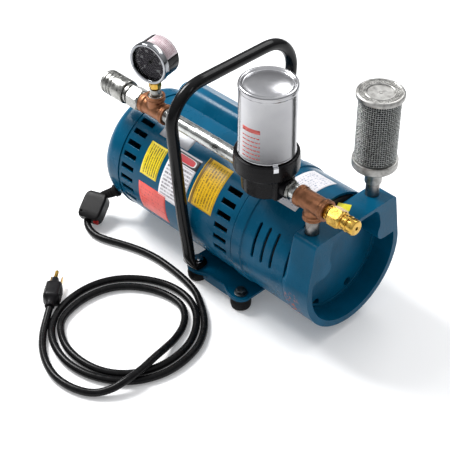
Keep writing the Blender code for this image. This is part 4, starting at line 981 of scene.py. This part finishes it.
def build_handle(m):
    """Each leg is bent in over its bolt and flattened to a round-ended tab."""
    tab_z, radius = PLATE[1] + 0.3 + 2.0, 7.1
    leg = [(-20.9, 71.0, tab_z), (-20.9, 76.0, tab_z + 1.0), (-20.9, 78.6, tab_z + 4.5), (-20.9, 79.2, tab_z + 10.0),
           (-21.2, 79.3, 40.0), (-22.0, 81.2, 62.0), (-23.0, 84.4, 88.0), (-24.2, 86.8, 116.0),
           (-25.8, 89.8, 160.0), (-27.2, 93.0, 205.0), (-27.6, 94.4, 224.0)]
    bend = [(-28.0, 51.0 + 44.0 * math.cos(t), 223.5 + 44.0 * math.sin(t))
            for t in [math.radians(12.0 + 78.0 * i / 6) for i in range(7)]]
    half = [Vector(p) for p in leg + bend]
    points, _ = smooth(half, 3.0)
    inner = [Vector((-20.9, FOOT_Y + 11.0 * math.cos(t), tab_z)) for t in
             [math.radians(180.0 - 90.0 * i / 7) for i in range(8)]]
    points = inner + [Vector((-20.9, 68.0, tab_z))] + points
    points += [Vector((-28.0, 51.0 * (1 - i / 12), 267.5)) for i in range(1, 13)]
    points += [Vector((p.x, -p.y, p.z)) for p in reversed(points[:-1])]

    def shape(index):
        point = points[index]
        flat = min(max((42.0 - point.z) / 18.0, 0.0), 1.0)
        flat = flat * flat * (3 - 2 * flat)
        reach = abs(point.y) - FOOT_Y
        round_end = math.sqrt(max(11.0 ** 2 - reach ** 2, 0.15)) if reach < 0.0 and point.z < 24.0 else 11.0
        return (radius * (1 - flat) + round_end * flat, radius * (1 - flat) + 2.0 * flat)

    rings = bar_rings(points, shape, 36)
    bar = lofted(rings)
    finish("handle_tube", bar, m["black_enamel"], nodes=["handle"], sharp=60.0)


# Pipework ----------------------------------------------------------------------------------------

def build_tee(m, name, node, x, branch):
    at = (x, -PORT_Y, PIPE_Z)
    half, band, bead, body = TEE_HALF - 1.0, 6.0, 12.2, 11.0
    run = [(-half, 0.0), (-half, bead), (-half + 1.6, bead), (-half + 2.0, bead - 0.5), (-half + 2.6, bead - 0.5), (-half + 3.0, bead),
           (-half + band, bead), (-half + band + 1.4, body)]
    run += [(-along, radius) for along, radius in reversed(run)]
    stub = [(1.0, 0.0), (1.0, 10.2), (12.6, 10.2), (13.6, 11.4), (15.6, 11.4), (16.0, 10.8), (16.8, 10.8), (17.2, 11.4),
            (19.6, 11.4), (19.6, 0.0)]
    bore = 8.1 if branch < 0 else 8.6
    shape = solved(turned(run, sides=72, closed=False, ease=0.4),
                   [("UNION", turned(stub, (0, 0, branch), sides=72, closed=False, ease=0.4)),
                    ("DIFFERENCE", rod(4.0, 24.0, bore, (0, 0, branch))),
                    ("DIFFERENCE", rod(-half - 2, -4.0, 8.7)), ("DIFFERENCE", rod(4.0, half + 2, 8.7))],
                   voxel=0.45, relax=3)
    shape.transform(Matrix.Translation(at))
    finish(name, shape, m["bronze"], nodes=[node], sharp=60.0)


def build_relief_valve(m):
    tee_end, hex_from, hex_to = PORT_X + TEE_HALF - 1.0, 168.3, 184.6
    nut = hex_nut(20.0, hex_from, hex_to, at=PIPE, turn=30.0, bore=6.2)
    stem = turned([(152.0, 4.0), (152.0, 8.3), (tee_end + 1.4, 8.3), (tee_end + 1.8, 7.6), (hex_from - 1.2, 7.6), (hex_from - 0.4, 8.8),
                   (hex_from + 0.4, 8.8), (hex_from + 0.4, 4.0)], at=PIPE, sides=64)
    neck = turned([(hex_to - 0.4, 6.15), (hex_to - 0.4, 9.2), (hex_to + 0.8, 9.2), (hex_to + 1.2, 7.7), (188.8, 7.7), (188.8, 6.15)],
                  at=PIPE, sides=72)
    finish("relief_body", joined(nut, stem, neck), m["brass"], nodes=["relief_valve_body"], bevel=0.25)
    knob = turned([(180.0, 2.0), (180.0, 5.7), (189.1, 5.7), (189.1, 8.2), (190.0, 9.0), (192.8, 9.0), (193.4, 7.9), (194.6, 7.9),
                   (195.2, 8.8), (199.8, 9.0), (201.6, 8.6), (202.8, 7.6), (203.0, 6.4), (203.0, 2.0)], at=PIPE, sides=72,
                  ease=0.3)
    holes = [("DIFFERENCE", rod(4.0, 12.0, 1.1, (0, math.cos(t), math.sin(t)), (194.0, -PORT_Y, PIPE_Z), 24))
             for t in [math.radians(20.0 + 90.0 * i) for i in range(4)]]
    finish("relief_knob", solved(knob, holes), m["brass"], body="relief_valve_knob",
           nodes=["relief_valve_knob"], bevel=0.2)


def build_pipes(m):
    build_tee(m, "outlet_tee_casting", "outlet_tee", PORT_X, -1)
    build_tee(m, "rear_tee_casting", "rear_tee", REAR_TEE_X, 1)
    build_relief_valve(m)
    for name, side, top in (("outlet_nipple", -1.0, 184.0), ("inlet_nipple", 1.0, 186.0)):
        at = (PORT_X, side * PORT_Y, 0.0)
        low = threaded(132.0, 151.0, 7.3, 7.8, 1.4, 5.6, Z_AXIS, at)
        middle = tube(150.6, 172.0, 5.6, 7.8, Z_AXIS, at, 64, 0.2)
        high = threaded(171.6, top, 7.3, 7.8, 1.4, 5.6, Z_AXIS, at)
        finish(f"{name}_pipe", joined(low, middle, high), m["nipple"], nodes=[name])
    ends = [threaded(99.0, 113.0, 7.9, 8.4, 1.4, 6.2, at=PIPE), threaded(119.0, 134.0, 7.9, 8.4, 1.4, 6.2, at=PIPE),
            tube(112.6, 119.4, 6.2, 8.4, at=PIPE, sides=64, ease=0.2)]
    finish("jar_nipple_pipe", joined(*ends), m["pipe"], nodes=["jar_nipple"])
    long = [threaded(-98.0, -80.0, 7.9, 8.4, 1.4, 6.2, at=PIPE), tube(-80.4, 31.0, 6.2, 8.4, at=PIPE, sides=72),
            threaded(30.6, 47.0, 7.9, 8.4, 1.4, 6.2, at=PIPE)]
    finish("outlet_pipe_run", joined(*long), m["pipe"], nodes=["outlet_pipe"])


def build_coupler(m):
    front = REAR_TEE_X - TEE_HALF - 0.3
    hexed = hex_nut(24.0, -147.0, front, at=PIPE, turn=30.0, bore=5.6, chamfer=0.09)
    core = turned([(-193.0, 5.4), (-193.0, 8.6), (-192.6, 9.0), (-157.5, 9.0), (-157.5, 12.2), (-147.0, 12.2), (-147.0, 5.4)],
                  at=PIPE, sides=72)
    thread = threaded(front - 0.2, -114.0, 7.8, 8.3, 1.4, 5.4, at=PIPE)
    finish("coupler_core", joined(hexed, core, thread), m["zinc"], nodes=["coupler_body"], bevel=0.25)
    ridges = [(-191.0, 9.5), (-191.0, 12.4), (-190.2, 13.8), (-189.2, 14.6), (-186.6, 14.75)]
    for middle in (-184.0, -178.6, -173.2):
        ridges += [(middle - 1.9, 14.75), (middle - 1.3, 13.4), (middle + 1.3, 13.4), (middle + 1.9, 14.75)]
    ridges += [(-169.4, 14.8), (-169.0, 14.5), (-168.4, 14.8), (-155.2, 14.8), (-153.8, 14.3), (-153.4, 13.6), (-153.4, 12.6), (-163.0, 12.6),
               (-163.0, 9.5)]
    finish("coupler_sleeve_ring", turned(ridges, at=PIPE, sides=120, ease=0.35), m["zinc"],
           body="coupler_sleeve", nodes=["coupler_sleeve"])
    seal = turned([(-148.4, 11.0), (-148.4, 12.5), (-147.1, 12.5), (-147.1, 11.0)], at=PIPE, sides=72, ease=0.3)
    finish("coupler_seal", seal, m["rubber"])


# Jar ---------------------------------------------------------------------------------------------

def build_jar(m):
    at = (JAR_X, -PORT_Y, 0.0)
    lip = JAR_LIP
    cup = [(178.5, 0.0), (178.5, 24.2), (179.4, 26.2), (181.4, 27.4), (203.0, 28.2), (205.4, 32.0), (207.0, 35.8), (208.4, 36.5),
           (219.6, 36.5), (220.6, 36.1), (224.8, 36.1), (lip - 0.8, 35.8), (lip - 0.1, 34.9), (lip - 0.1, 33.1), (lip - 0.8, 32.6),
           (221.2, 32.5), (221.2, 23.2), (186.0, 23.2), (186.0, 0.0)]
    corners = eased([(-15.0, -15.0), (15.0, -15.0), (15.0, 15.0), (-15.0, 15.0)], 4.0, steps=6)
    block = along_z([(x * 0.67, y) for x, y in corners], 181.0, 217.0, (JAR_X + 19.9, -PORT_Y))
    bosses = [turned([(34.0, 0.0), (34.0, 13.0), (35.2, 14.2), (58.0, 14.2), (58.0, 0.0)], at=PIPE, sides=64, closed=False),
              turned([(98.0, 0.0), (98.0, 12.6), (104.0, 11.5), (108.4, 11.4), (109.0, 10.8), (109.0, 0.0)], at=PIPE, sides=64,
                     closed=False)]
    steps = [("UNION", part) for part in [block] + bosses]
    steps += [("DIFFERENCE", rod(30.0, 56.0, 8.7, at=PIPE)), ("DIFFERENCE", rod(86.0, 114.0, 8.7, at=PIPE)),
              ("DIFFERENCE", rod(186.0, 219.0, 23.0, Z_AXIS, at, 64))]
    body = solved(turned(cup, Z_AXIS, at, 120, closed=False, ease=0.5), steps)
    finish("jar_base_moulding", body, m["moulding"], nodes=["jar_base"], sharp=40.0, bevel=0.7)
    locknut = hex_nut(20.5, 109.3, 112.6, at=PIPE, turn=8.0, bore=8.75, chamfer=0.07)
    finish("jar_locknut", locknut, m["zinc"], bevel=0.15)

    skin = 1.0
    can = [(221.8, 30.9), (221.8, 31.8), (226.6, 31.9), (227.6, 32.15), (229.0, 32.2), (229.9, 31.9), (230.5, 31.45), (303.0, 31.45),
           (304.4, 31.2), (305.2, 31.3), (305.9, 31.75), (307.2, 32.2)]
    can += [(309.6 + 2.5 * math.sin(t), 29.7 + 2.5 * math.cos(t)) for t in [math.radians(-35.0 + 15.0 * i) for i in range(11)]]
    can += [(310.0, 27.4), (309.4, 26.6), (309.5, 25.6)]
    can += [(310.0 + 3.0 * (1.0 - (r / 25.0) ** 2), r) for r in (24.0, 21.0, 17.0, 13.0, 9.0, 5.0, 2.0, 0.0)]
    inner = [(310.0 + 3.0 - skin, 0.0), (309.0, 24.0), (306.0, 27.0), (304.0, 30.2), (221.8, 30.4)]
    finish("jar_can", turned(can + inner, Z_AXIS, at, 160, closed=False), m["alu"],
           body="jar_cover", nodes=["jar_cover"], sharp=55.0)

    lean = Matrix.Translation((JAR_X, -PORT_Y, 0.0)) @ Matrix.Rotation(math.radians(-30.6), 4, "Z")
    strap = [(32.7, lip + 3.4), (32.7, lip + 0.6), (33.8, lip + 0.3), (36.8, lip + 0.3), (37.0, lip - 1.0), (37.0, lip - 5.0), (37.6, lip - 5.6),
             (38.2, lip - 5.0), (38.2, lip + 0.2), (37.4, lip + 1.4), (34.4, lip + 1.4), (33.6, lip + 2.0), (33.4, lip + 3.6)]
    clip = prism(eased(strap, 0.6, steps=4), 5.6, Matrix.Rotation(math.radians(90.0), 4, "X"))
    clip.transform(lean @ Matrix.Translation((0.0, 2.8, 0.0)))
    finish("jar_spring_clip", clip, m["chrome"], nodes=["jar_clip"], bevel=0.2)
    build_jar_print(m)


def build_jar_print(m):
    """Red printed bars on the can's rear left side: a broad one over eight thin broken ones."""
    bm = bmesh.new()
    rng = random.Random(4)
    radius = 31.53
    rows = [(266.0, 271.0, 0)] + [(261.0 - 5.2 * i - 1.5, 261.0 - 5.2 * i, 1) for i in range(6)]
    for low, high, broken in rows:
        turn = -101.0
        while turn < -60.0:
            width = rng.uniform(4.0, 10.0) if broken else 41.0
            last = min(turn + width, -60.0)
            steps = max(2, int((last - turn) / 3.0))
            columns = []
            for k in range(steps + 1):
                t = math.radians(turn + (last - turn) * k / steps)
                spot = (JAR_X + radius * math.cos(t), -PORT_Y + radius * math.sin(t))
                columns.append((bm.verts.new((*spot, low)), bm.verts.new((*spot, high))))
            for (a, b), (c, d) in zip(columns, columns[1:]):
                bm.faces.new((a, c, d, b))
            turn = last + 1.5
    sheet_piece("can_print", bm, m["can_ink"], "jar_cover", (JAR_X, -PORT_Y), thickness=0.06)


# Gauge -------------------------------------------------------------------------------------------

DIGITS = {"0": "abcdef", "1": "bc", "2": "abged", "3": "abgcd", "4": "fgbc", "5": "afgcd", "6": "afgedc", "8": "abcdefg"}
STROKES = {"a": ((0, 2), (1, 2)), "b": ((1, 1), (1, 2)), "c": ((1, 0), (1, 1)), "d": ((0, 0), (1, 0)),
           "e": ((0, 0), (0, 1)), "f": ((0, 1), (0, 2)), "g": ((0, 1), (1, 1))}


def gauge_plane():
    """Local x is right and y is up on the dial; z comes out of its face."""
    return (Matrix.Translation((REAR_TEE_X, -PORT_Y, GAUGE_Z)) @ Matrix.Rotation(GAUGE_YAW, 4, "Z")
            @ Matrix(((1, 0, 0, 0), (0, 0, -1, 0), (0, 1, 0, 0), (0, 0, 0, 1))))


def build_gauge(m):
    facing = (math.sin(GAUGE_YAW), -math.cos(GAUGE_YAW), 0.0)
    centre = (REAR_TEE_X, -PORT_Y, GAUGE_Z)
    plane = gauge_plane()
    stem_at = (REAR_TEE_X, -PORT_Y, 0.0)
    reducer = joined(threaded(203.0, 214.0, 7.8, 8.3, 1.4, 3.8, Z_AXIS, stem_at),
                     tube(213.4, 221.4, 3.8, 6.8, Z_AXIS, stem_at, 48, 0.4))
    finish("gauge_reducer", reducer, m["zinc"], nodes=["gauge_bushing"])

    pan = [(-17.5, 0.0), (-17.5, 20.5), (-16.7, 22.6), (-15.0, 24.1), (8.0, 24.3), (8.0, 22.9), (-9.0, 22.9), (-9.0, 0.0)]
    neck = turned([(222.0, 3.4), (222.0, 5.0), (236.4, 5.0), (236.4, 3.4)], Z_AXIS, stem_at, 40)
    finish("gauge_pan", turned(pan, facing, centre, 96, closed=False, ease=0.5), m["black_enamel"],
           nodes=["gauge_case"], weighted=True)
    square = hex_nut(13.0, 222.4, 230.6, Z_AXIS, stem_at, turn=12.0)
    finish("gauge_stem", joined(square, neck), m["brass"], bevel=0.2)

    finish("dial_plate", turned([(4.6, 1.6), (4.6, 22.3), (5.6, 22.3), (5.6, 1.6)], facing, centre, 96), m["dial"],
           nodes=["gauge_dial"])
    marks = []
    for index in range(41):
        turn = math.radians(-135.0 + 270.0 * index / 40)
        major = index % 4 == 0
        inner, half = (16.4, 0.34) if major else (18.2, 0.16)
        mark = box((-half, inner, 5.62), (half, 20.4, 5.8))
        mark.transform(plane @ Matrix.Rotation(-turn, 4, "Z"))
        marks.append(mark)
    for index, value in enumerate(("0", "20", "40", "60", "80", "100")):
        turn = math.radians(-135.0 + 270.0 * index / 5)
        centre_x, centre_y = 13.2 * math.sin(turn), 13.2 * math.cos(turn)
        for place, digit in enumerate(value):
            left = centre_x + (place - (len(value) - 1) / 2) * 2.0 - 0.6
            for stroke in DIGITS[digit]:
                (x0, y0), (x1, y1) = STROKES[stroke]
                low = (left + 1.2 * min(x0, x1) - 0.17, centre_y - 1.3 + 1.3 * min(y0, y1) - 0.17, 5.62)
                high = (left + 1.2 * max(x0, x1) + 0.17, centre_y - 1.3 + 1.3 * max(y0, y1) + 0.17, 5.78)
                bar = box(low, high)
                bar.transform(plane)
                marks.append(bar)
    finish("dial_print", joined(*marks), m["print_white"])

    needle = prism([(-0.9, -6.8), (0.9, -6.8), (1.2, -2.0), (1.1, 2.0), (0.28, 17.6), (-0.28, 17.6), (-1.1, 2.0), (-1.2, -2.0)],
                   0.6, plane @ Matrix.Rotation(-POINTER_REST, 4, "Z") @ Matrix.Translation((0.0, 0.0, 6.6)))
    hub = turned([(3.4, 0.0), (3.4, 1.2), (6.4, 1.2), (6.5, 2.5), (7.4, 2.5), (7.9, 1.9), (8.0, 0.0)], facing, centre, 40,
                 closed=False)
    finish("gauge_needle", joined(needle, hub), m["pointer"], body="gauge_pointer",
           nodes=["gauge_pointer"], bevel=0.1)
    lens = turned([(9.3, 0.0), (9.3, 23.3), (10.6, 23.3), (10.7, 20.0), (11.1, 12.0), (11.3, 0.0)], facing, centre, 96,
                  closed=False)
    finish("lens_glass", lens, m["glass"], nodes=["gauge_lens"])
    rim = [(6.0, 24.5), (5.6, 25.0), (6.0, 25.3), (11.4, 25.3), (12.6, 24.8), (13.1, 23.6), (12.9, 22.2), (12.0, 21.3), (11.4, 21.3),
           (11.3, 24.5)]
    # the bezel takes the darker chrome, whose colour is painted shade for its dark reflections
    finish("bezel_ring", turned(rim, facing, centre, 120, ease=0.5), m["painted_shade_chrome"], nodes=["gauge_bezel"])


def build_gauge_sticker():
    """A printed sheet round the top of the case, with UVs."""
    bm = bmesh.new()
    uv = bm.loops.layers.uv.new("UVMap")
    plane, columns = gauge_plane(), 24
    edges = []
    for i in range(columns + 1):
        turn = math.radians(-14.0 + 82.0 * i / columns)
        edges.append([bm.verts.new(plane @ Vector((24.42 * math.sin(turn), 24.42 * math.cos(turn), z))) for z in (-14.2, 5.0)])
    for i, (first, second) in enumerate(zip(edges, edges[1:])):
        face = bm.faces.new((first[0], first[1], second[1], second[0]))
        for loop, spot in zip(face.loops, ((i, 1.0), (i, 0.0), (i + 1, 0.0), (i + 1, 1.0))):
            loop[uv].uv = (spot[0] / columns, spot[1])
    sheet_piece("gauge_case_sticker", bm, label_material("print_gauge_sticker", rgb(206, 192, 196), rgb(140, 96, 104), 9, 30, 0.6),
                "frame", (REAR_TEE_X, -PORT_Y, GAUGE_Z))


# Inlet filter ------------------------------------------------------------------------------------

def build_filter(m):
    at = (PORT_X, PORT_Y, 0.0)
    funnel = [(171.0, 8.1), (171.0, 9.4), (171.6, 9.8), (183.0, 9.8), (184.4, 10.2), (187.6, 12.6), (191.0, 18.0), (193.6, 24.4),
              (195.0, 25.6), (202.6, 25.7), (203.8, 25.2), (204.0, 24.4), (204.0, 6.2), (187.0, 6.2), (187.0, 8.1)]
    finish("filter_funnel", turned(funnel, Z_AXIS, at, 96, ease=0.4), m["cast_alu"], nodes=["filter_base"])

    core = turned([(204.4, 18.0), (204.4, 21.8), (281.8, 21.8), (281.8, 18.0)], Z_AXIS, at, 96)
    finish("filter_pleats", core, m["element"], nodes=["filter_mesh"])
    wires = bmesh.new()
    radius, wire, uprights, hoops, sides = 22.7, 0.4, 54, 30, 5
    low, high = 204.4, 282.2
    section = [(wire * math.cos(2 * math.pi * k / sides), wire * math.sin(2 * math.pi * k / sides)) for k in range(sides)]

    def tube_through(centres, radials, along_up):
        loops = []
        for centre, out, along in zip(centres, radials, along_up):
            across = out.cross(along).normalized()
            loops.append([wires.verts.new(centre + out * a + across * b) for a, b in section])
        return loops

    def skin(loops, ring):
        pairs = list(zip(loops, loops[1:]))
        if ring:
            pairs.append((loops[-1], loops[0]))
        for first, second in pairs:
            for k in range(sides):
                n = (k + 1) % sides
                wires.faces.new((first[k], first[n], second[n], second[k]))
        if not ring:
            wires.faces.new(loops[0])
            wires.faces.new(loops[-1])

    step = (high - low) / hoops
    for i in range(uprights):
        t = 2 * math.pi * i / uprights
        out = Vector((math.cos(t), math.sin(t), 0.0))
        centres = []
        for j in range(hoops * 2 + 1):
            weave = 0.45 * math.cos(math.pi * (j / 2.0 - 0.5 + i))
            centres.append(Vector(at) + out * (radius + weave) + Vector((0.0, 0.0, low + step * j / 2.0)))
        skin(tube_through(centres, [out] * len(centres), [Vector((0, 0, 1))] * len(centres)), False)
    for j in range(hoops):
        z = low + step * (j + 0.5)
        centres, outs, alongs = [], [], []
        for i in range(uprights * 2):
            t = math.pi * i / uprights
            out = Vector((math.cos(t), math.sin(t), 0.0))
            weave = -0.45 * math.cos(math.pi * (i / 2.0 + j))
            centres.append(Vector(at) + out * (radius + weave) + Vector((0.0, 0.0, z)))
            outs.append(out)
            alongs.append(Vector((-math.sin(t), math.cos(t), 0.0)))
        skin(tube_through(centres, outs, alongs), True)
    finish("filter_wire_mesh", wires, m["wire"], sharp=80.0)

    cap = [(282.2, 0.0), (282.2, 25.2), (282.8, 26.2), (284.0, 26.6), (286.0, 26.6), (287.6, 26.2), (288.6, 25.0), (288.9, 23.4),
           (288.4, 22.6), (287.6, 22.2), (287.6, 17.4), (288.4, 16.6), (288.5, 15.4), (287.8, 14.6), (286.9, 14.2), (286.9, 2.6),
           (287.5, 2.2), (287.6, 0.0)]
    finish("filter_lid", turned(cap, Z_AXIS, at, 120, closed=False, ease=0.3), m["cast_alu"],
           nodes=["filter_cap"], weighted=True)
    beads = []
    for ring, count in ((18.6, 40), (20.9, 46)):
        for i in range(count):
            t = 2 * math.pi * (i + (0.5 if ring > 20 else 0.0)) / count
            bead = bmesh.new()
            bmesh.ops.create_icosphere(bead, subdivisions=1, radius=1.02)
            bmesh.ops.transform(bead, verts=bead.verts, matrix=Matrix.Translation(
                (PORT_X + ring * math.cos(t), PORT_Y + ring * math.sin(t), 287.7)) @ Matrix.Diagonal((1, 1, 0.75, 1)))
            beads.append(bead)
    finish("filter_lid_beads", joined(*beads), m["cast_alu"], sharp=80.0)


# Labels ------------------------------------------------------------------------------------------

def sheet_piece(name, bm, material, body, centre, thickness=0.1):
    """A thin sheet that faces away from a centre; a centre of two numbers is an upright axis."""
    bmesh.ops.recalc_face_normals(bm, faces=bm.faces)
    face = bm.faces[0]
    middle = face.calc_center_median()
    out = middle - Vector((*centre, middle.z)) if len(centre) == 2 else middle - Vector(centre)
    if face.normal.dot(out) < 0.0:
        bmesh.ops.reverse_faces(bm, faces=bm.faces)
    bmesh.ops.transform(bm, matrix=TO_FRAME, verts=bm.verts)
    mesh = bpy.data.meshes.new(name)
    bm.to_mesh(mesh)
    bm.free()
    mesh.shade_smooth()
    mesh.materials.append(material)
    piece = bpy.data.objects.new(name, mesh)
    scene.collection.objects.link(piece)
    sheet = piece.modifiers.new("sheet", "SOLIDIFY")
    sheet.thickness, sheet.offset = thickness * MM, -1.0
    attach(piece, body)
    return piece


def label(name, material, x_range, angle_range, lines_along_x=True, radius=SHELL_R + 0.12):
    """A printed label on the shells, with UVs. Angles are from the top towards -Y."""
    bm = bmesh.new()
    uv = bm.loops.layers.uv.new("UVMap")
    columns, rows = 14, 24
    grid = []
    for i in range(columns + 1):
        line = []
        for j in range(rows + 1):
            angle = math.radians(angle_range[0] + (angle_range[1] - angle_range[0]) * j / rows)
            x = x_range[0] + (x_range[1] - x_range[0]) * i / columns
            line.append(bm.verts.new((x, -radius * math.sin(angle), AXIS_Z + radius * math.cos(angle))))
        grid.append(line)
    for i in range(columns):
        for j in range(rows):
            face = bm.faces.new((grid[i][j], grid[i][j + 1], grid[i + 1][j + 1], grid[i + 1][j]))
            for loop, (a, b) in zip(face.loops, ((i, j), (i, j + 1), (i + 1, j + 1), (i + 1, j))):
                along, down = a / columns, 1.0 - b / rows
                loop[uv].uv = (along, down) if lines_along_x else (1.0 - down, 1.0 - along)
    middle = ((x_range[0] + x_range[1]) / 2, 0.0, AXIS_Z)
    return sheet_piece(name, bm, material, "frame", middle)


def build_labels(m):
    yellow, amber = rgb(232, 206, 30), rgb(232, 184, 20)
    red, white, grey = rgb(240, 84, 72), rgb(224, 222, 226), rgb(168, 170, 176)
    ink, soft_ink, dark_red = rgb(52, 46, 20), rgb(96, 90, 96), rgb(176, 34, 34)
    label("label_rear_yellow", label_material("print_rear_yellow", yellow, ink, 8, 26, 0.6), (-113.5, -85.5), (41.0, 73.0),
          lines_along_x=False)
    label("label_rear_red", label_material("print_rear_red", red, dark_red, 9, 22, 0.42, fade=0.25), (-113.0, -66.0),
          (81.0, 115.0))
    label("label_side_white", label_material("print_side_white", white, soft_ink, 15, 24, 0.55,
                                             header=(0.78, rgb(34, 30, 34), rgb(200, 44, 54))),
          (-79.0, -35.0), (34.0, 84.0))
    label("label_front_yellow", label_material("print_front_yellow", amber, rgb(112, 84, 14), 9, 24, 0.55,
                                               header=(0.86, rgb(120, 90, 18), None), fade=0.2),
          (-30.0, 8.0), (27.0, 72.0), lines_along_x=False)
    label("label_under_pipe", label_material("print_under_pipe", grey, rgb(150, 152, 158), 4, 10, 0.3), (-111.0, -62.0),
          (18.0, 33.0))
    label("label_top_white", label_material("print_top_white", white, rgb(120, 132, 156), 10, 14, 0.45), (71.0, 106.0),
          (-25.0, 29.0), lines_along_x=False)


def build_cowl_label(m):
    outline = [(-7.5, -6.0), (7.5, -6.0), (7.5, 6.0), (-7.5, 6.0)]
    patch = prism(outline, 0.25, Matrix.Translation((137.6, 7.6, 154.02)) @ Matrix.Rotation(math.radians(28.0), 4, "Z"))
    finish("label_cowl_yellow", patch, label_flat(rgb(236, 226, 26)))


def label_flat(colour):
    g = Graph("print_cowl_yellow")
    wash = g.noise(g.place(), 240.0, 4.0)
    dim = tuple(c * 0.86 for c in colour[:3]) + (1.0,)
    g.put(g.shader.inputs["Base Color"], g.mix(g.between(wash, 0.35, 0.65), dim, colour))
    g.put(g.shader.inputs["Roughness"], g.between(wash, 0.3, 0.7, 0.34, 0.5))
    return g.material


# The frame's own nodes and the stage --------------------------------------------------------------

NODE_FINISH = {
    "stator_core": "iron", "rotor_core": "iron", "pump_cylinder": "iron", "pump_rotor": "iron", "field_winding": "copper",
    "motor_shaft": "zinc", "rear_bearing": "zinc", "front_bearing": "zinc", "cooling_fan": "plastic", "capacitor": "alu",
    "vane_1": "carbon", "vane_2": "carbon", "vane_3": "carbon", "vane_4": "carbon", "jar_felt": "felt",
    "relief_valve_poppet": "brass", "relief_valve_spring": "zinc",
}


def finish_nodes(m):
    for name, key in NODE_FINISH.items():
        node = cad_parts[name]
        node.data.materials.clear()
        node.data.materials.append(m[key])


def build_stage():
    bm = bmesh.new()
    bmesh.ops.create_grid(bm, x_segments=1, y_segments=1, size=6.0)
    mesh = bpy.data.meshes.new("floor")
    bm.to_mesh(mesh)
    bm.free()
    g = Graph("floor_paper")
    g.put(g.shader.inputs["Base Color"], g.mix(g.noise(g.place(), 3.0), (0.86, 0.86, 0.865, 1.0), (0.88, 0.88, 0.88, 1.0)))
    g.shader.inputs["Emission Color"].default_value = (1.0, 1.0, 1.0, 1.0)
    g.shader.inputs["Emission Strength"].default_value = 0.15
    g.shader.inputs["Roughness"].default_value = 0.7
    mesh.materials.append(g.material)
    floor = bpy.data.objects.new("floor", mesh)
    floor.location.z = -0.0004
    scene.collection.objects.link(floor)


def area_light(name, place, target, size, power, colour=(1.0, 1.0, 1.0)):
    data = bpy.data.lights.new(name, "AREA")
    data.shape, data.size, data.size_y = "RECTANGLE", size[0], size[1]
    data.energy, data.color = power, colour
    lamp = bpy.data.objects.new(name, data)
    lamp.location = place
    lamp.rotation_euler = (Vector(target) - Vector(place)).to_track_quat("-Z", "Y").to_euler()
    scene.collection.objects.link(lamp)


def build_lights():
    """A soft room that is bright overhead and dark at the horizon, with a large key from the left."""
    world = bpy.data.worlds.new("studio")
    scene.world = world
    world.use_nodes = True
    nodes, links = world.node_tree.nodes, world.node_tree.links
    split = nodes.new("ShaderNodeSeparateXYZ")
    links.new(nodes.new("ShaderNodeTexCoord").outputs["Generated"], split.inputs[0])
    ramp = nodes.new("ShaderNodeMapRange")
    ramp.inputs["From Min"].default_value, ramp.inputs["From Max"].default_value = 0.0, 0.9
    ramp.inputs["To Min"].default_value, ramp.inputs["To Max"].default_value = 0.14, 0.86
    links.new(split.outputs["Z"], ramp.inputs["Value"])
    links.new(ramp.outputs[0], nodes["Background"].inputs["Strength"])
    nodes["Background"].inputs["Color"].default_value = (0.97, 0.98, 1.0, 1.0)
    area_light("key", (-1.05, -0.25, 1.35), (0.0, 0.0, 0.1), (0.6, 0.6), 34.0)
    area_light("rim", (0.0, 0.95, 1.3), (0.0, 0.0, 0.12), (1.2, 0.5), 9.0)
    scene.view_settings.view_transform = "Standard"


def main():
    build_camera()
    m = build_materials()
    build_cord(m)
    build_motor_shell(m)
    build_pump_housing(m)
    build_rear_bell(m)
    build_cowl(m)
    build_capacitor_cover(m)
    build_base(m)
    build_handle(m)
    build_pipes(m)
    build_coupler(m)
    build_jar(m)
    build_gauge(m)
    build_gauge_sticker()
    build_filter(m)
    build_labels(m)
    build_cowl_label(m)
    finish_nodes(m)
    build_stage()
    build_lights()


main()
